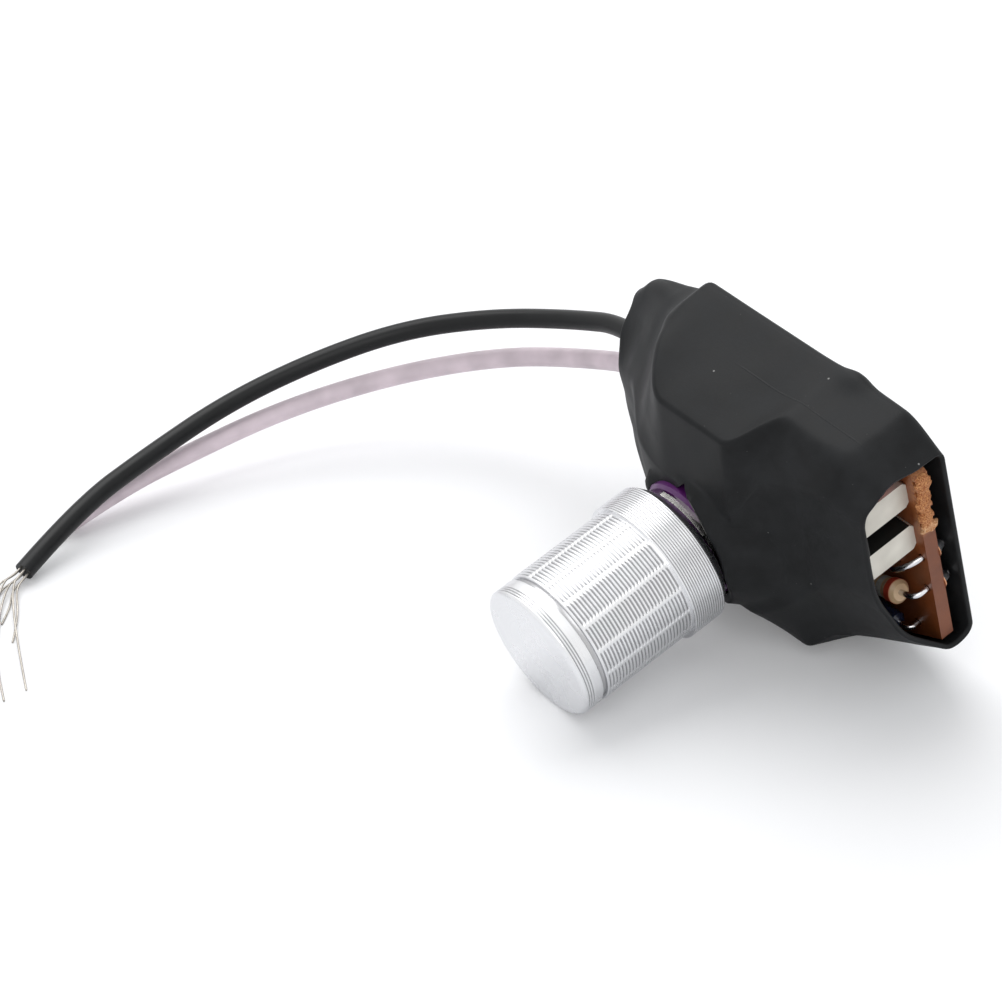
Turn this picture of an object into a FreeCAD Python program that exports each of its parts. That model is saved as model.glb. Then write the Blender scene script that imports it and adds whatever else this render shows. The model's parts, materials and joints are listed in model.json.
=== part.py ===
import FreeCAD, Part
import math
import os

import Sketcher

# Rotary cord dimmer: a dimmer board with its potentiometer, wrapped in one heat-shrink sleeve.
# Lengths are in millimetres and angles in degrees.
# The module is drawn in its own frame and laid down at the end. Its origin is on the knob's axis, at
# the board's component face. x runs along the sleeve from the wires to the mouth, y runs across the
# board, and z runs from the board to the knob.

Vector = FreeCAD.Vector

# Driving dimensions, one spreadsheet row each: alias, value or formula, meaning
SIZES = [
    ("board_left", 9.2, "knob axis to the board's edge at the wires"),
    ("board_right", 20.4, "knob axis to the board's snapped edge"),
    ("board_upper", 15.8, "knob axis to the board's upper edge"),
    ("board_lower", 13.3, "knob axis to the board's lower edge"),
    ("board_thickness", 1.4, "phenolic board"),
    ("upper_clip_length", 3.8, "upper corner clip at the mouth, along the board"),
    ("upper_clip_depth", 3.2, "upper corner clip at the mouth, across the board"),
    ("wire_clip", 1.9, "upper corner clip at the wires"),
    ("lower_clip_length", 9.8, "lower corner clip at the mouth, along the board"),
    ("lower_clip_depth", 5.0, "lower corner clip at the mouth, across the board"),
    ("snap_recess", 0.25, "smooth stretch of the snapped edge, set back"),
    ("snap_step", 5.7, "knob axis to the end of the ragged stretch"),
    ("snap_notch_radius", 0.42, "half-round notch in the ragged edge"),
    ("snap_notch_pitch", 1.3, "distance between the notches"),
    ("snap_notch_first", 6.7, "knob axis to the first notch"),
    ("copper_thickness", 0.1, "tracks under the board"),
    ("track_width", 1.2, "width of a copper strip"),
    ("pad_margin", 0.15, "copper round a solder joint"),
    ("hole_play", 0.12, "lead hole, more than the lead's radius"),
    ("solder_height", 0.8, "solder cone under the copper"),
    ("solder_radius", 0.75, "foot of a solder cone"),
    ("fine_solder_radius", 0.52, "foot of a solder cone between close leads"),
    ("lead_tail", 1.05, "lead standing out under the board"),
    ("lead_radius", 0.28, "component leads"),
    ("fine_lead_radius", 0.22, "triac leads"),
    ("sleeve_wall", 0.5, "shrunk sleeve"),
    ("sleeve_gap", 0.25, "air between the sleeve and what it wraps"),
    ("neck_reach", 18.3, "knob axis to the sleeve's end at the wires"),
    ("neck_waist", 16.6, "knob axis to where the neck starts to flatten"),
    ("neck_root", 12.0, "knob axis to where the neck leaves the board"),
    ("mouth_reach", 20.8, "knob axis to the sleeve's mouth"),
    ("lip_height", 10.2, "sleeve's front round the shaft hole"),
    ("lip_reach", 6.4, "half width of the sleeve's flat front at the shaft hole"),
    ("shaft_hole_radius", 6.1, "shaft hole in the sleeve"),
    ("tear_tip", 7.5, "knob axis to the tip of the tear above the shaft hole"),
    ("tear_left", 3.5, "tear's foot on the wire side"),
    ("tear_right", 2.85, "tear's foot on the mouth side"),
    ("collar_radius", 6.9, "rim of the sleeve pushed up round the shaft hole"),
    ("collar_wall", 0.55, "rim's width"),
    ("collar_height", 10.25, "middle of the rim above the board"),
    ("collar_tilt", 15.0, "the rim rises towards the mouth"),
    ("collar_turn", 10.0, "direction in which the rim rises most"),
    ("collar_slope", 60.0, "its flank, from the rim's plane"),
    ("collar_depth", 5.0, "its flank, along its axis"),
    ("box_capacitor_length", 6.4, "along the sleeve"),
    ("box_capacitor_depth", 3.2, "across the board"),
    ("box_capacitor_height", 8.3, "above the board"),
    ("box_capacitor_inset", 1.6, "board's upper edge to the box capacitor"),
    ("box_capacitor_place_x", 1.9, "middle of the box capacitor"),
    ("box_capacitor_place_y", "=board_upper - box_capacitor_inset - box_capacitor_depth / 2", "its middle"),
    ("box_capacitor_pitch", 5.0, "between its leads"),
    ("capacitor_rounding", 0.35, "rounded edges of the box capacitors"),
    ("filter_capacitor_length", 5.6, "along the sleeve"),
    ("filter_capacitor_depth", 2.6, "across the board"),
    ("filter_capacitor_height", 6.6, "above the board"),
    ("filter_capacitor_place_x", 6.2, "middle of the filter capacitor"),
    ("filter_capacitor_play", 0.9, "potentiometer's radius to the filter capacitor's middle"),
    ("filter_capacitor_pitch", 3.8, "between its leads"),
    ("dipped_capacitor_length", 8.0, "along the sleeve"),
    ("dipped_capacitor_depth", 2.4, "across the board"),
    ("dipped_capacitor_height", 4.0, "dipped body"),
    ("dipped_capacitor_lift", 0.6, "board to the dipped body"),
    ("dipped_capacitor_place_x", 14.8, "middle of the dipped capacitor"),
    ("dipped_capacitor_inset", 2.95, "board's upper edge to the dipped capacitor's middle"),
    ("dipped_capacitor_place_y", "=board_upper - dipped_capacitor_inset", "its middle"),
    ("dipped_capacitor_pitch", 5.0, "between its leads"),
    ("dipped_rounding", 0.9, "rounded edges of the dipped body"),
    ("sink_left", 7.9, "knob axis to the heat sink's inner end"),
    ("sink_right", 19.0, "knob axis to the heat sink's end in the mouth"),
    ("sink_lower", 3.3, "knob axis to the heat sink's lower face"),
    ("sink_width", 8.2, "across both legs"),
    ("sink_height", 5.6, "above the board"),
    ("sink_slot", 2.3, "screw slot between the legs"),
    ("sink_web", 0.6, "web that joins the legs"),
    ("sink_chamfer", 0.4, "broken edges at the board"),
    ("sink_screw_place", 13.4, "knob axis to the heat sink's screw"),
    ("sink_screw_radius", 1.14, "self-tapping screw in the slot"),
    ("sink_screw_depth", 4.0, "screw inside the slot"),
    ("sink_screw_head_radius", 2.1, "pan head under the board"),
    ("sink_screw_head_height", 0.95, "pan head under the board"),
    ("triac_place", 12.6, "middle of the triac, along the sleeve"),
    ("triac_radius", 2.3, "round side of the triac's body"),
    ("triac_flat", 1.3, "middle of the round side to the flat"),
    ("triac_lift", 1.2, "board to the triac's body"),
    ("triac_height", 4.3, "triac's body"),
    ("triac_pitch", 1.27, "between its leads"),
    ("resistor_radius", 1.0, "resistor's waist"),
    ("resistor_end_radius", 1.15, "resistor's bulged ends"),
    ("resistor_length", 6.3, "resistor's body"),
    ("resistor_end_length", 1.5, "each bulged end"),
    ("resistor_axis", 1.5, "board to the resistor's axis"),
    ("small_resistor_scale", 0.75, "small resistor's radius, by the large one's"),
    ("small_resistor_length", 3.2, "small resistor's body"),
    ("small_resistor_axis", 1.2, "board to the small resistor's axis"),
    ("diac_radius", 0.85, "glass diac"),
    ("diac_length", 3.8, "glass diac"),
    ("diac_axis", 1.1, "board to the diac's axis"),
    ("jumper_rise", 1.7, "board to the top of the bare wire"),
    ("pot_radius", 7.6, "moulded housing"),
    ("filter_capacitor_place_y", "=-(pot_radius + filter_capacitor_play)", "its middle"),
    ("pot_height", 8.4, "shoulder of the housing above the board"),
    ("pot_wall", 0.7, "housing's side wall"),
    ("pot_roof", 1.5, "housing's front wall"),
    ("pot_shoulder_chamfer", 0.6, "edge of the shoulder"),
    ("pot_ledge", 1.7, "shoulder round the boss"),
    ("boss_radius", "=pot_radius - pot_ledge", "raised boss round the bush"),
    ("boss_height", 11.0, "top of the boss above the board"),
    ("boss_chamfer", 0.3, "edge of the boss"),
    ("wafer_thickness", 1.2, "wafer that closes the housing"),
    ("wafer_play", 0.05, "wafer in the housing"),
    ("tongue_reach", 9.9, "knob axis to the end of the wafer's tongue"),
    ("tongue_half_width", 6.2, "half width of the tongue"),
    ("terminal_pitch", 5.0, "between the terminals"),
    ("terminal_place", 8.8, "knob axis to the row of terminals"),
    ("terminal_width", 1.0, "flat pin, along the row"),
    ("terminal_thickness", 0.5, "flat pin, across the row"),
    ("terminal_head", 0.3, "riveted head on the tongue"),
    ("film_thickness", 0.08, "resistive film and collector ring"),
    ("film_inner", 4.4, "resistive film, inner radius"),
    ("film_margin", 1.1, "housing's wall to the film"),
    ("film_outer", "=pot_radius - pot_wall - film_margin", "resistive film, outer radius"),
    ("ring_inner", 3.2, "collector ring, inner radius"),
    ("ring_outer", 4.0, "collector ring, outer radius"),
    ("film_gap_angle", 50.0, "opening of the horseshoe film"),
    ("bush_radius", 3.5, "threaded bush"),
    ("bush_top", 16.0, "top of the bush above the board"),
    ("bush_flange_radius", 5.0, "flange inside the housing"),
    ("bush_flange", 0.8, "flange thickness"),
    ("nut_flats", 10.0, "across the nut's flats"),
    ("nut_height", 2.0, "hexagon nut"),
    ("nut_turn", 105.0, "direction of one of the nut's corners"),
    ("nut_chamfer", 0.3, "turned edges of the nut"),
    ("shaft_radius", 3.0, "potentiometer shaft"),
    ("shaft_play", 0.03, "shaft in the bush"),
    ("shaft_foot", 2.2, "lower end of the shaft above the board"),
    ("shaft_top", 25.0, "top of the shaft above the board"),
    ("shaft_slot", 0.9, "slot across the split end"),
    ("shaft_slot_depth", 6.5, "slot along the split end"),
    ("ring_groove_radius", 2.5, "shaft under the retaining ring"),
    ("ring_radius", 4.1, "retaining ring"),
    ("ring_thickness", 0.5, "retaining ring"),
    ("ring_lift", 0.05, "retaining ring above the bush"),
    ("ring_opening", 3.2, "mouth of the retaining ring"),
    ("rotor_play", 0.7, "housing's wall to the rotor disc"),
    ("rotor_radius", "=pot_radius - pot_wall - rotor_play", "rotor disc"),
    ("rotor_foot", 3.2, "rotor's lower face above the board"),
    ("rotor_height", 2.4, "rotor disc"),
    ("lug_play", 0.15, "stop lug to the wall, and fixed stop to the disc"),
    ("lug_reach", "=pot_radius - pot_wall - lug_play", "rotor's stop lug"),
    ("lug_half_angle", 14.0, "rotor's stop lug"),
    ("stop_reach", "=rotor_radius + lug_play", "fixed stop, from the axis"),
    ("stop_half_angle", 14.0, "fixed stop in the housing"),
    ("wiper_thickness", 0.25, "wiper plate under the rotor"),
    ("wiper_inset", 0.6, "rotor's edge to the wiper plate's"),
    ("wiper_radius", "=rotor_radius - wiper_inset", "wiper plate"),
    ("finger_width", 0.8, "wiper finger"),
    ("finger_gap", 0.04, "finger above the film"),
    ("knob_back", 12.0, "knob's back face above the board"),
    ("knob_length", 17.0, "whole knob"),
    ("knob_face_radius", 6.35, "flat front face"),
    ("knob_band_radius", 6.65, "front band"),
    ("knob_band_length", 2.1, "front band with its bevel"),
    ("knob_bevel", 0.3, "bevel between face and band"),
    ("knob_groove_radius", 6.3, "bottom of the groove behind the band"),
    ("knob_groove_length", 0.5, "groove behind the band"),
    ("knob_grip_radius", 6.7, "grip"),
    ("knob_base_radius", 7.1, "base ring"),
    ("knob_base_length", 4.4, "base ring with its chamfer"),
    ("knob_base_chamfer", 1.0, "rear chamfer"),
    ("knob_recess_radius", 5.95, "wide recess over the nut"),
    ("knob_recess_depth", 1.7, "wide recess over the nut"),
    ("knob_counterbore_radius", 4.5, "counterbore over bush and ring"),
    ("knob_counterbore_depth", 5.2, "counterbore over bush and ring"),
    ("knob_bore_depth", 13.5, "shaft bore from the back"),
    ("wire_radius", 0.95, "insulated hook-up wire"),
    ("strand_radius", 0.1, "loose copper strand"),
]

# Places of the small components on the board, in the module's frame: hole to hole
RESISTOR_1_HOLES = (Vector(9.6, -5.5, 0), Vector(19.4, -1.9, 0))
RESISTOR_2_HOLES = (Vector(-8.4, 11.6, 0), Vector(-3.8, 11.6, 0))
DIAC_HOLES = (Vector(10.9, -8.2, 0), Vector(17.1, -8.2, 0))
JUMPER_HOLES = (Vector(15.9, -0.6, 0), Vector(19.4, 2.1, 0))
BLACK_TAIL_HOLE = Vector(-8.0, 7.6, 0)
WHITE_TAIL_HOLE = Vector(-8.3, 3.4, 0)
TAIL_RISE = 1.5
TAIL_REACH = 2.4

# Courses of the two hook-up wires from their inner ends to the table, in the laid object's frame
BLACK_WIRE_COURSE = [
    (-11.65, 8.07, 20.97), (-20.65, 10.32, 20.34), (-29.39, 9.71, 16.8), (-37.56, 6.51, 13.97),
    (-44.26, 0.67, 11.51), (-48.69, -7.07, 9.14), (-50.77, -15.81, 6.97), (-50.89, -24.87, 5.13),
    (-49.36, -33.84, 3.39), (-46.2, -42.23, 1.15),
]
WHITE_WIRE_COURSE = [
    (-11.95, 9.19, 16.92), (-20.15, 11.25, 15.83), (-28.16, 10.63, 12.56), (-35.64, 7.77, 10.01),
    (-41.65, 2.31, 7.76), (-45.83, -4.81, 6.03), (-48.15, -12.83, 4.72), (-48.81, -21.18, 3.58),
    (-48.19, -29.53, 2.39), (-46.55, -36.6, 1.15),
]

# Loose strands: place in the wire's end face (across, up), then the bends and the tip on the table
BLACK_STRANDS = [
    ((0.0, 0.0), [(-45.15, -45.0, 0.62), (-40.45, -48.9, 0.2)], (-34.85, -52.0, 0.12)),
    ((0.5, 0.0), [(-44.15, -44.5, 0.66), (-40.75, -46.3, 0.3)], (-38.25, -48.5, 0.12)),
    ((-0.5, 0.0), [(-46.05, -45.6, 0.66), (-41.15, -50.0, 0.3)], (-37.45, -51.3, 0.12)),
    ((0.25, 0.45), [(-44.65, -44.6, 0.98), (-39.05, -47.7, 0.5)], (-31.55, -51.1, 0.12)),
    ((-0.25, 0.45), [(-45.55, -45.2, 1.02), (-40.05, -49.8, 0.6)], (-31.45, -53.5, 0.12)),
    ((0.25, -0.45), [(-44.75, -44.6, 0.22), (-42.75, -46.0, 0.14)], (-41.15, -47.9, 0.12)),
    ((-0.25, -0.45), [(-45.65, -45.2, 0.22), (-43.95, -47.0, 0.14)], (-42.85, -49.4, 0.12)),
]
WHITE_STRANDS = [
    ((0.0, 0.0), [(-46.45, -38.6, 0.6)], (-47.55, -41.3, 0.13)),
    ((0.45, 0.1), [(-45.95, -38.5, 0.62)], (-46.65, -41.2, 0.13)),
    ((-0.45, 0.1), [(-46.95, -38.5, 0.6)], (-48.45, -41.1, 0.13)),
    ((0.2, -0.45), [(-46.25, -38.4, 0.2)], (-47.05, -40.4, 0.12)),
    ((-0.25, -0.45), [(-46.75, -38.4, 0.2)], (-48.05, -40.3, 0.12)),
]

document = FreeCAD.newDocument("rotary_cord_dimmer")
sheet = document.addObject("Spreadsheet::Sheet", "sizes")
for row, (alias, value, meaning) in enumerate(SIZES, start=1):
    sheet.set("A%d" % row, meaning)
    sheet.set("B%d" % row, str(value))
    sheet.setAlias("B%d" % row, alias)
document.recompute()


def size(alias):
    """The number in the sheet's cell of that name."""
    return float(sheet.get(alias))


# Finished sub-parts by node name, and those that already lie in the row frame
parts = {}
laid_parts = {}


# Sketches and features


def new_body(name):
    return document.addObject("PartDesign::Body", name + "_body")


def new_sketch(body, name, plane_role, lift=None):
    """A sketch on one of the body's origin planes, moved along the plane's normal by lift."""
    plane = [item for item in body.Origin.OriginFeatures if item.Role == plane_role][0]
    sketch = body.newObject("Sketcher::SketchObject", name)
    sketch.AttachmentSupport = [(plane, "")]
    sketch.MapMode = "FlatFace"
    if lift is not None:
        sketch.setExpression("AttachmentOffset.Base.z", lift)
    return sketch


def bind_point(sketch, geometry, point, x, y):
    """Hold one point of the sketch at two expressions."""
    for kind, expression in (("DistanceX", x), ("DistanceY", y)):
        index = sketch.addConstraint(Sketcher.Constraint(kind, -1, 1, geometry, point, 1.0))
        sketch.setExpression("Constraints[%d]" % index, expression)


def add_polygon(sketch, corners):
    """A closed polygon whose corners are pairs of expressions."""
    count = len(corners)
    start = sketch.GeometryCount
    step = 2 * math.pi / count
    ring = [Vector(10 * math.cos(i * step), 10 * math.sin(i * step), 0) for i in range(count)]
    for i in range(count):
        sketch.addGeometry(Part.LineSegment(ring[i], ring[(i + 1) % count]))
    for i in range(count):
        follower = start + (i + 1) % count
        sketch.addConstraint(Sketcher.Constraint("Coincident", start + i, 2, follower, 1))
    for i, (x, y) in enumerate(corners):
        bind_point(sketch, start + i, 1, x, y)


def add_circle(sketch, x, y, radius):
    """A circle whose centre and radius are expressions."""
    index = sketch.addGeometry(Part.Circle(Vector(1, 1, 0), Vector(0, 0, 1), 1.0))
    bind_point(sketch, index, 3, x, y)
    constraint = sketch.addConstraint(Sketcher.Constraint("Radius", index, 1.0))
    sketch.setExpression("Constraints[%d]" % constraint, radius)


def add_pad(body, name, sketch, length):
    pad = body.newObject("PartDesign::Pad", name)
    pad.Profile = sketch
    pad.setExpression("Length", length)
    return pad


def add_pocket(body, name, sketch, length, reverse=False):
    pocket = body.newObject("PartDesign::Pocket", name)
    pocket.Profile = sketch
    pocket.setExpression("Length", length)
    pocket.Reversed = reverse
    return pocket


def add_revolution(body, name, profile, kind="PartDesign::Revolution"):
    """Turn a profile, whose first coordinate is the radius, about the body's z axis."""
    sketch = new_sketch(body, name + "_profile", "XZ_Plane")
    add_polygon(sketch, profile)
    feature = body.newObject(kind, name)
    feature.Profile = sketch
    feature.ReferenceAxis = (sketch, ["V_Axis"])
    feature.Angle = 360
    return feature


def add_feature(name, shape):
    """A sub-part whose shape is worked out below, because it is swept, lofted or a group."""
    feature = document.addObject("Part::Feature", name)
    feature.Shape = shape
    return feature


def add_cut(name, base, tool):
    cut = document.addObject("Part::Cut", name)
    cut.Base = base
    cut.Tool = tool
    return cut


def keep(name, item):
    item.Label = name
    parts[name] = item


def keep_laid(name, item):
    item.Label = name
    laid_parts[name] = item


# Swept wires


def rounded_path(points, name=None, bend=None):
    """Straight runs joined by tangent arcs. Without a bend radius each arc is as large as its runs allow."""
    share = 0.45
    edges = []
    radii = []
    start = points[0]
    for i in range(1, len(points) - 1):
        before = points[i] - points[i - 1]
        after = points[i + 1] - points[i]
        turn = before.getAngle(after)
        shorter = min(before.Length, after.Length)
        radius = share * shorter / math.tan(turn / 2)
        if bend is not None:
            radius = min(radius, bend)
        radii.append(radius)
        setback = radius * math.tan(turn / 2)
        entry = points[i] - before.normalize() * setback
        leave = points[i] + after.normalize() * setback
        inward = (entry + leave) * 0.5 - points[i]
        centre_distance = radius / math.cos(turn / 2)
        centre = points[i] + inward.normalize() * centre_distance
        middle = centre - inward.normalize() * radius
        edges.append(Part.LineSegment(start, entry).toShape())
        edges.append(Part.Arc(entry, middle, leave).toShape())
        start = leave
    edges.append(Part.LineSegment(start, points[-1]).toShape())
    path = Part.Wire(edges)
    if name is not None:
        listed = ", ".join("%.1f" % radius for radius in radii)
        print("%s: length %.1f, radii %s" % (name, path.Length, listed))
    return path


def swept_wire(points, radius, name=None, bend=None):
    """A round wire along the points, checked against its section times its length."""
    path = rounded_path(points, name, bend)
    direction = points[1] - points[0]
    section = Part.Wire([Part.Circle(points[0], direction, radius).toShape()])
    solid = path.makePipeShell([section], True, False)
    expected = math.pi * radius ** 2 * path.Length
    if abs(solid.Volume - expected) > 0.01 * expected:
        raise ValueError("a swept wire has the wrong volume")
    return solid


def bridge_lead(hole_a, hole_b, axis_height, inner_gap, radius):
    """The two bent leads of a part that lies on the board: up from a hole, then along to the body."""
    along = (hole_b - hole_a).normalize()
    middle = (hole_a + hole_b) * 0.5
    foot = Vector(0, 0, -size("board_thickness") - size("lead_tail"))
    rise = Vector(0, 0, axis_height)
    bend = 2.5 * radius
    leads = []
    for hole, sign in ((hole_a, -1), (hole_b, 1)):
        end = middle + along * (sign * inner_gap / 2) + rise
        leads.append(swept_wire([hole + foot, hole + rise, end], radius, bend=bend))
    return Part.makeCompound(leads)


def straight_leads(places, radius, top):
    """Straight leads from the height top down through the board."""
    foot = -size("board_thickness") - size("lead_tail")
    rods = [Part.makeCylinder(radius, top - foot, Vector(p.x, p.y, foot)) for p in places]
    return Part.makeCompound(rods)


# Places of the leads, each with its lead radius and solder radius


def spread(place_x, place_y, pitch, count):
    """Points in a row along x, centred on a place."""
    first = -(count - 1) / 2
    return [Vector(place_x + (first + i) * pitch, place_y, 0) for i in range(count)]


def capacitor_leads(name):
    return spread(size(name + "_place_x"), size(name + "_place_y"), size(name + "_pitch"), 2)


def triac_middle():
    return size("sink_lower") - size("triac_flat")


def triac_lead_places():
    return spread(size("triac_place"), triac_middle() + 0.3, size("triac_pitch"), 3)


def terminal_places():
    return spread(0, size("terminal_place"), size("terminal_pitch"), 3)


def lead_holes():
    """Every lead that passes the board: place, radius of the lead and foot of its solder cone."""
    lead = size("lead_radius")
    cone = size("solder_radius")
    places = list(RESISTOR_1_HOLES + RESISTOR_2_HOLES + DIAC_HOLES + JUMPER_HOLES)
    places += [BLACK_TAIL_HOLE, WHITE_TAIL_HOLE]
    for name in ("box_capacitor", "filter_capacitor", "dipped_capacitor"):
        places += capacitor_leads(name)
    holes = [(place, lead, cone) for place in places]
    fine = (size("fine_lead_radius"), size("fine_solder_radius"))
    holes += [(place,) + fine for place in triac_lead_places()]
    return holes


def terminal_box(place, bottom, top, margin=0.0):
    """The block that a flat terminal pin fills, with a margin for its hole."""
    width = size("terminal_width") + 2 * margin
    thickness = size("terminal_thickness") + 2 * margin
    corner = Vector(place.x - width / 2, place.y - thickness / 2, bottom)
    return Part.makeBox(width, thickness, top - bottom, corner)


# Circuit board: a snapped phenolic board with clipped corners at the mouth


def make_circuit_board():
    body = new_body("circuit_board")
    sketch = new_sketch(body, "board_outline", "XY_Plane", "-sizes.board_thickness")
    recessed = "sizes.board_right - sizes.snap_recess"
    corners = [
        ("-sizes.board_left", "-sizes.board_lower"),
        ("sizes.board_right - sizes.lower_clip_length", "-sizes.board_lower"),
        (recessed, "-sizes.board_lower + sizes.lower_clip_depth"),
        (recessed, "sizes.snap_step"),
        ("sizes.board_right", "sizes.snap_step"),
        ("sizes.board_right", "sizes.board_upper - sizes.upper_clip_depth"),
        ("sizes.board_right - sizes.upper_clip_length", "sizes.board_upper"),
        ("-sizes.board_left + sizes.wire_clip", "sizes.board_upper"),
        ("-sizes.board_left", "sizes.board_upper - sizes.wire_clip"),
    ]
    add_polygon(sketch, corners)
    add_pad(body, "board_plate", sketch, "sizes.board_thickness")
    notch_sketch = new_sketch(body, "snap_notch_outline", "XY_Plane", "-sizes.board_thickness")
    add_circle(notch_sketch, "sizes.board_right", "sizes.snap_notch_first", "sizes.snap_notch_radius")
    notch = add_pocket(body, "snap_notch", notch_sketch, "sizes.board_thickness", reverse=True)
    document.recompute()
    pattern = body.newObject("PartDesign::LinearPattern", "snap_notches")
    pattern.Originals = [notch]
    pattern.Direction = (notch_sketch, ["V_Axis"])
    room = size("board_upper") - size("upper_clip_depth") - size("snap_notch_first")
    pattern.Occurrences = 1 + int(room / size("snap_notch_pitch"))
    pattern.Length = (pattern.Occurrences - 1) * size("snap_notch_pitch")
    body.Tip = pattern
    drills = []
    depth = size("board_thickness")
    play = size("hole_play")
    for place, radius, _ in lead_holes():
        drills.append(Part.makeCylinder(radius + play, depth, Vector(place.x, place.y, -depth)))
    for place in terminal_places():
        drills.append(terminal_box(place, -depth, 0, play))
    screw = Vector(size("sink_screw_place"), sink_middle(), -depth)
    drills.append(Part.makeCylinder(size("sink_screw_radius") + play, depth, screw))
    tool = add_feature("board_drills", Part.makeCompound(drills))
    keep("circuit_board", add_cut("drilled_board", body, tool))


def sink_middle():
    return size("sink_lower") + size("sink_width") / 2


def make_copper_and_solder():
    """Copper strips between the pads under the board, and a solder cone round each lead."""
    top = -size("board_thickness")
    copper = size("copper_thickness")
    width = size("track_width")
    margin = size("pad_margin")
    height = size("solder_height")
    box_a, box_b = capacitor_leads("box_capacitor")
    filter_a, filter_b = capacitor_leads("filter_capacitor")
    dipped_a, dipped_b = capacitor_leads("dipped_capacitor")
    gate, _, far_lead = triac_lead_places()
    first_pin, middle_pin, last_pin = terminal_places()
    strips = [
        (BLACK_TAIL_HOLE, RESISTOR_2_HOLES[0]),
        (RESISTOR_2_HOLES[1], first_pin),
        (middle_pin, last_pin),
        (last_pin, box_b),
        (box_b, dipped_a),
        (dipped_b, JUMPER_HOLES[1]),
        (gate, RESISTOR_1_HOLES[0]),
        (far_lead, JUMPER_HOLES[0]),
        (DIAC_HOLES[1], RESISTOR_1_HOLES[1]),
        (DIAC_HOLES[0], filter_b),
        (WHITE_TAIL_HOLE, filter_a),
        (first_pin, box_a),
    ]
    pieces = []
    for start, end in strips:
        run = end - start
        strip = Part.makeBox(run.Length, width, copper, Vector(0, -width / 2, 0))
        turn = math.degrees(math.atan2(run.y, run.x))
        rotation = FreeCAD.Rotation(Vector(0, 0, 1), turn)
        strip.Placement = FreeCAD.Placement(Vector(start.x, start.y, top - copper), rotation)
        pieces.append(strip)
    cones = []
    bores = []
    for place, radius, foot in lead_holes():
        base = Vector(place.x, place.y, top - copper)
        pieces.append(Part.makeCylinder(foot + margin, copper, base))
        bores.append(Part.makeCylinder(radius, 4 * height, Vector(place.x, place.y, top - 2 * height)))
        cone = Part.makeCone(foot, 0.55 * foot, height, base, Vector(0, 0, -1))
        cones.append(cone.cut(bores[-1]))
    for place in terminal_places():
        base = Vector(place.x, place.y, top - copper)
        foot = size("solder_radius")
        pieces.append(Part.makeCylinder(foot + margin, copper, base))
        bores.append(terminal_box(place, top - 2 * height, top + height))
        cone = Part.makeCone(foot, 0.8 * foot, height, base, Vector(0, 0, -1))
        cones.append(cone.cut(bores[-1]))
    tracks = pieces[0].fuse(pieces[1:]).removeSplitter().cut(bores)
    keep("copper_tracks", add_feature("copper", tracks))
    keep("solder_joints", add_feature("solder", Part.makeCompound(cones)))


# Components on the board


def make_box_capacitor(name):
    """A moulded box on the board with two leads under it."""
    body = new_body(name)
    sketch = new_sketch(body, name + "_outline", "XY_Plane")
    prefix = "sizes." + name
    low_x = "%s_place_x - %s_length / 2" % (prefix, prefix)
    high_x = "%s_place_x + %s_length / 2" % (prefix, prefix)
    low_y = "%s_place_y - %s_depth / 2" % (prefix, prefix)
    high_y = "%s_place_y + %s_depth / 2" % (prefix, prefix)
    add_polygon(sketch, [(low_x, low_y), (high_x, low_y), (high_x, high_y), (low_x, high_y)])
    pad = add_pad(body, name + "_block", sketch, prefix + "_height")
    document.recompute()
    fillet = body.newObject("PartDesign::Fillet", name + "_edges")
    top = size(name + "_height")
    edges = []
    for index, edge in enumerate(pad.Shape.Edges, start=1):
        if edge.BoundBox.ZMax > top / 2:
            edges.append("Edge%d" % index)
    fillet.Base = (pad, edges)
    fillet.setExpression("Radius", "sizes.capacitor_rounding")
    keep(name + "_body", body)
    leads = straight_leads(capacitor_leads(name), size("lead_radius"), 0)
    keep(name + "_leads", add_feature(name + "_lead_pair", leads))


def make_dipped_capacitor():
    """A flat dipped body with round ends, standing on its two leads."""
    name = "dipped_capacitor"
    middle_x = size(name + "_place_x")
    middle_y = size(name + "_place_y")
    radius = size(name + "_depth") / 2
    half_run = size(name + "_length") / 2 - radius
    height = size(name + "_height")
    lift = size(name + "_lift")
    left = middle_x - half_run
    right = middle_x + half_run
    low = middle_y - radius
    high = middle_y + radius
    outline = Part.Wire([
        Part.LineSegment(Vector(left, low, lift), Vector(right, low, lift)).toShape(),
        Part.Arc(
            Vector(right, low, lift), Vector(right + radius, middle_y, lift), Vector(right, high, lift)
        ).toShape(),
        Part.LineSegment(Vector(right, high, lift), Vector(left, high, lift)).toShape(),
        Part.Arc(
            Vector(left, high, lift), Vector(left - radius, middle_y, lift), Vector(left, low, lift)
        ).toShape(),
    ])
    block = Part.Face(outline).extrude(Vector(0, 0, height))
    level = [edge for edge in block.Edges if edge.BoundBox.ZLength < 0.01]
    rounded = block.makeFillet(min(size("dipped_rounding"), 0.45 * height, 0.9 * radius), level)
    keep(name + "_body", add_feature(name + "_dip", rounded))
    leads = straight_leads(capacitor_leads(name), size("lead_radius"), lift)
    keep(name + "_leads", add_feature(name + "_lead_pair", leads))


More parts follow.
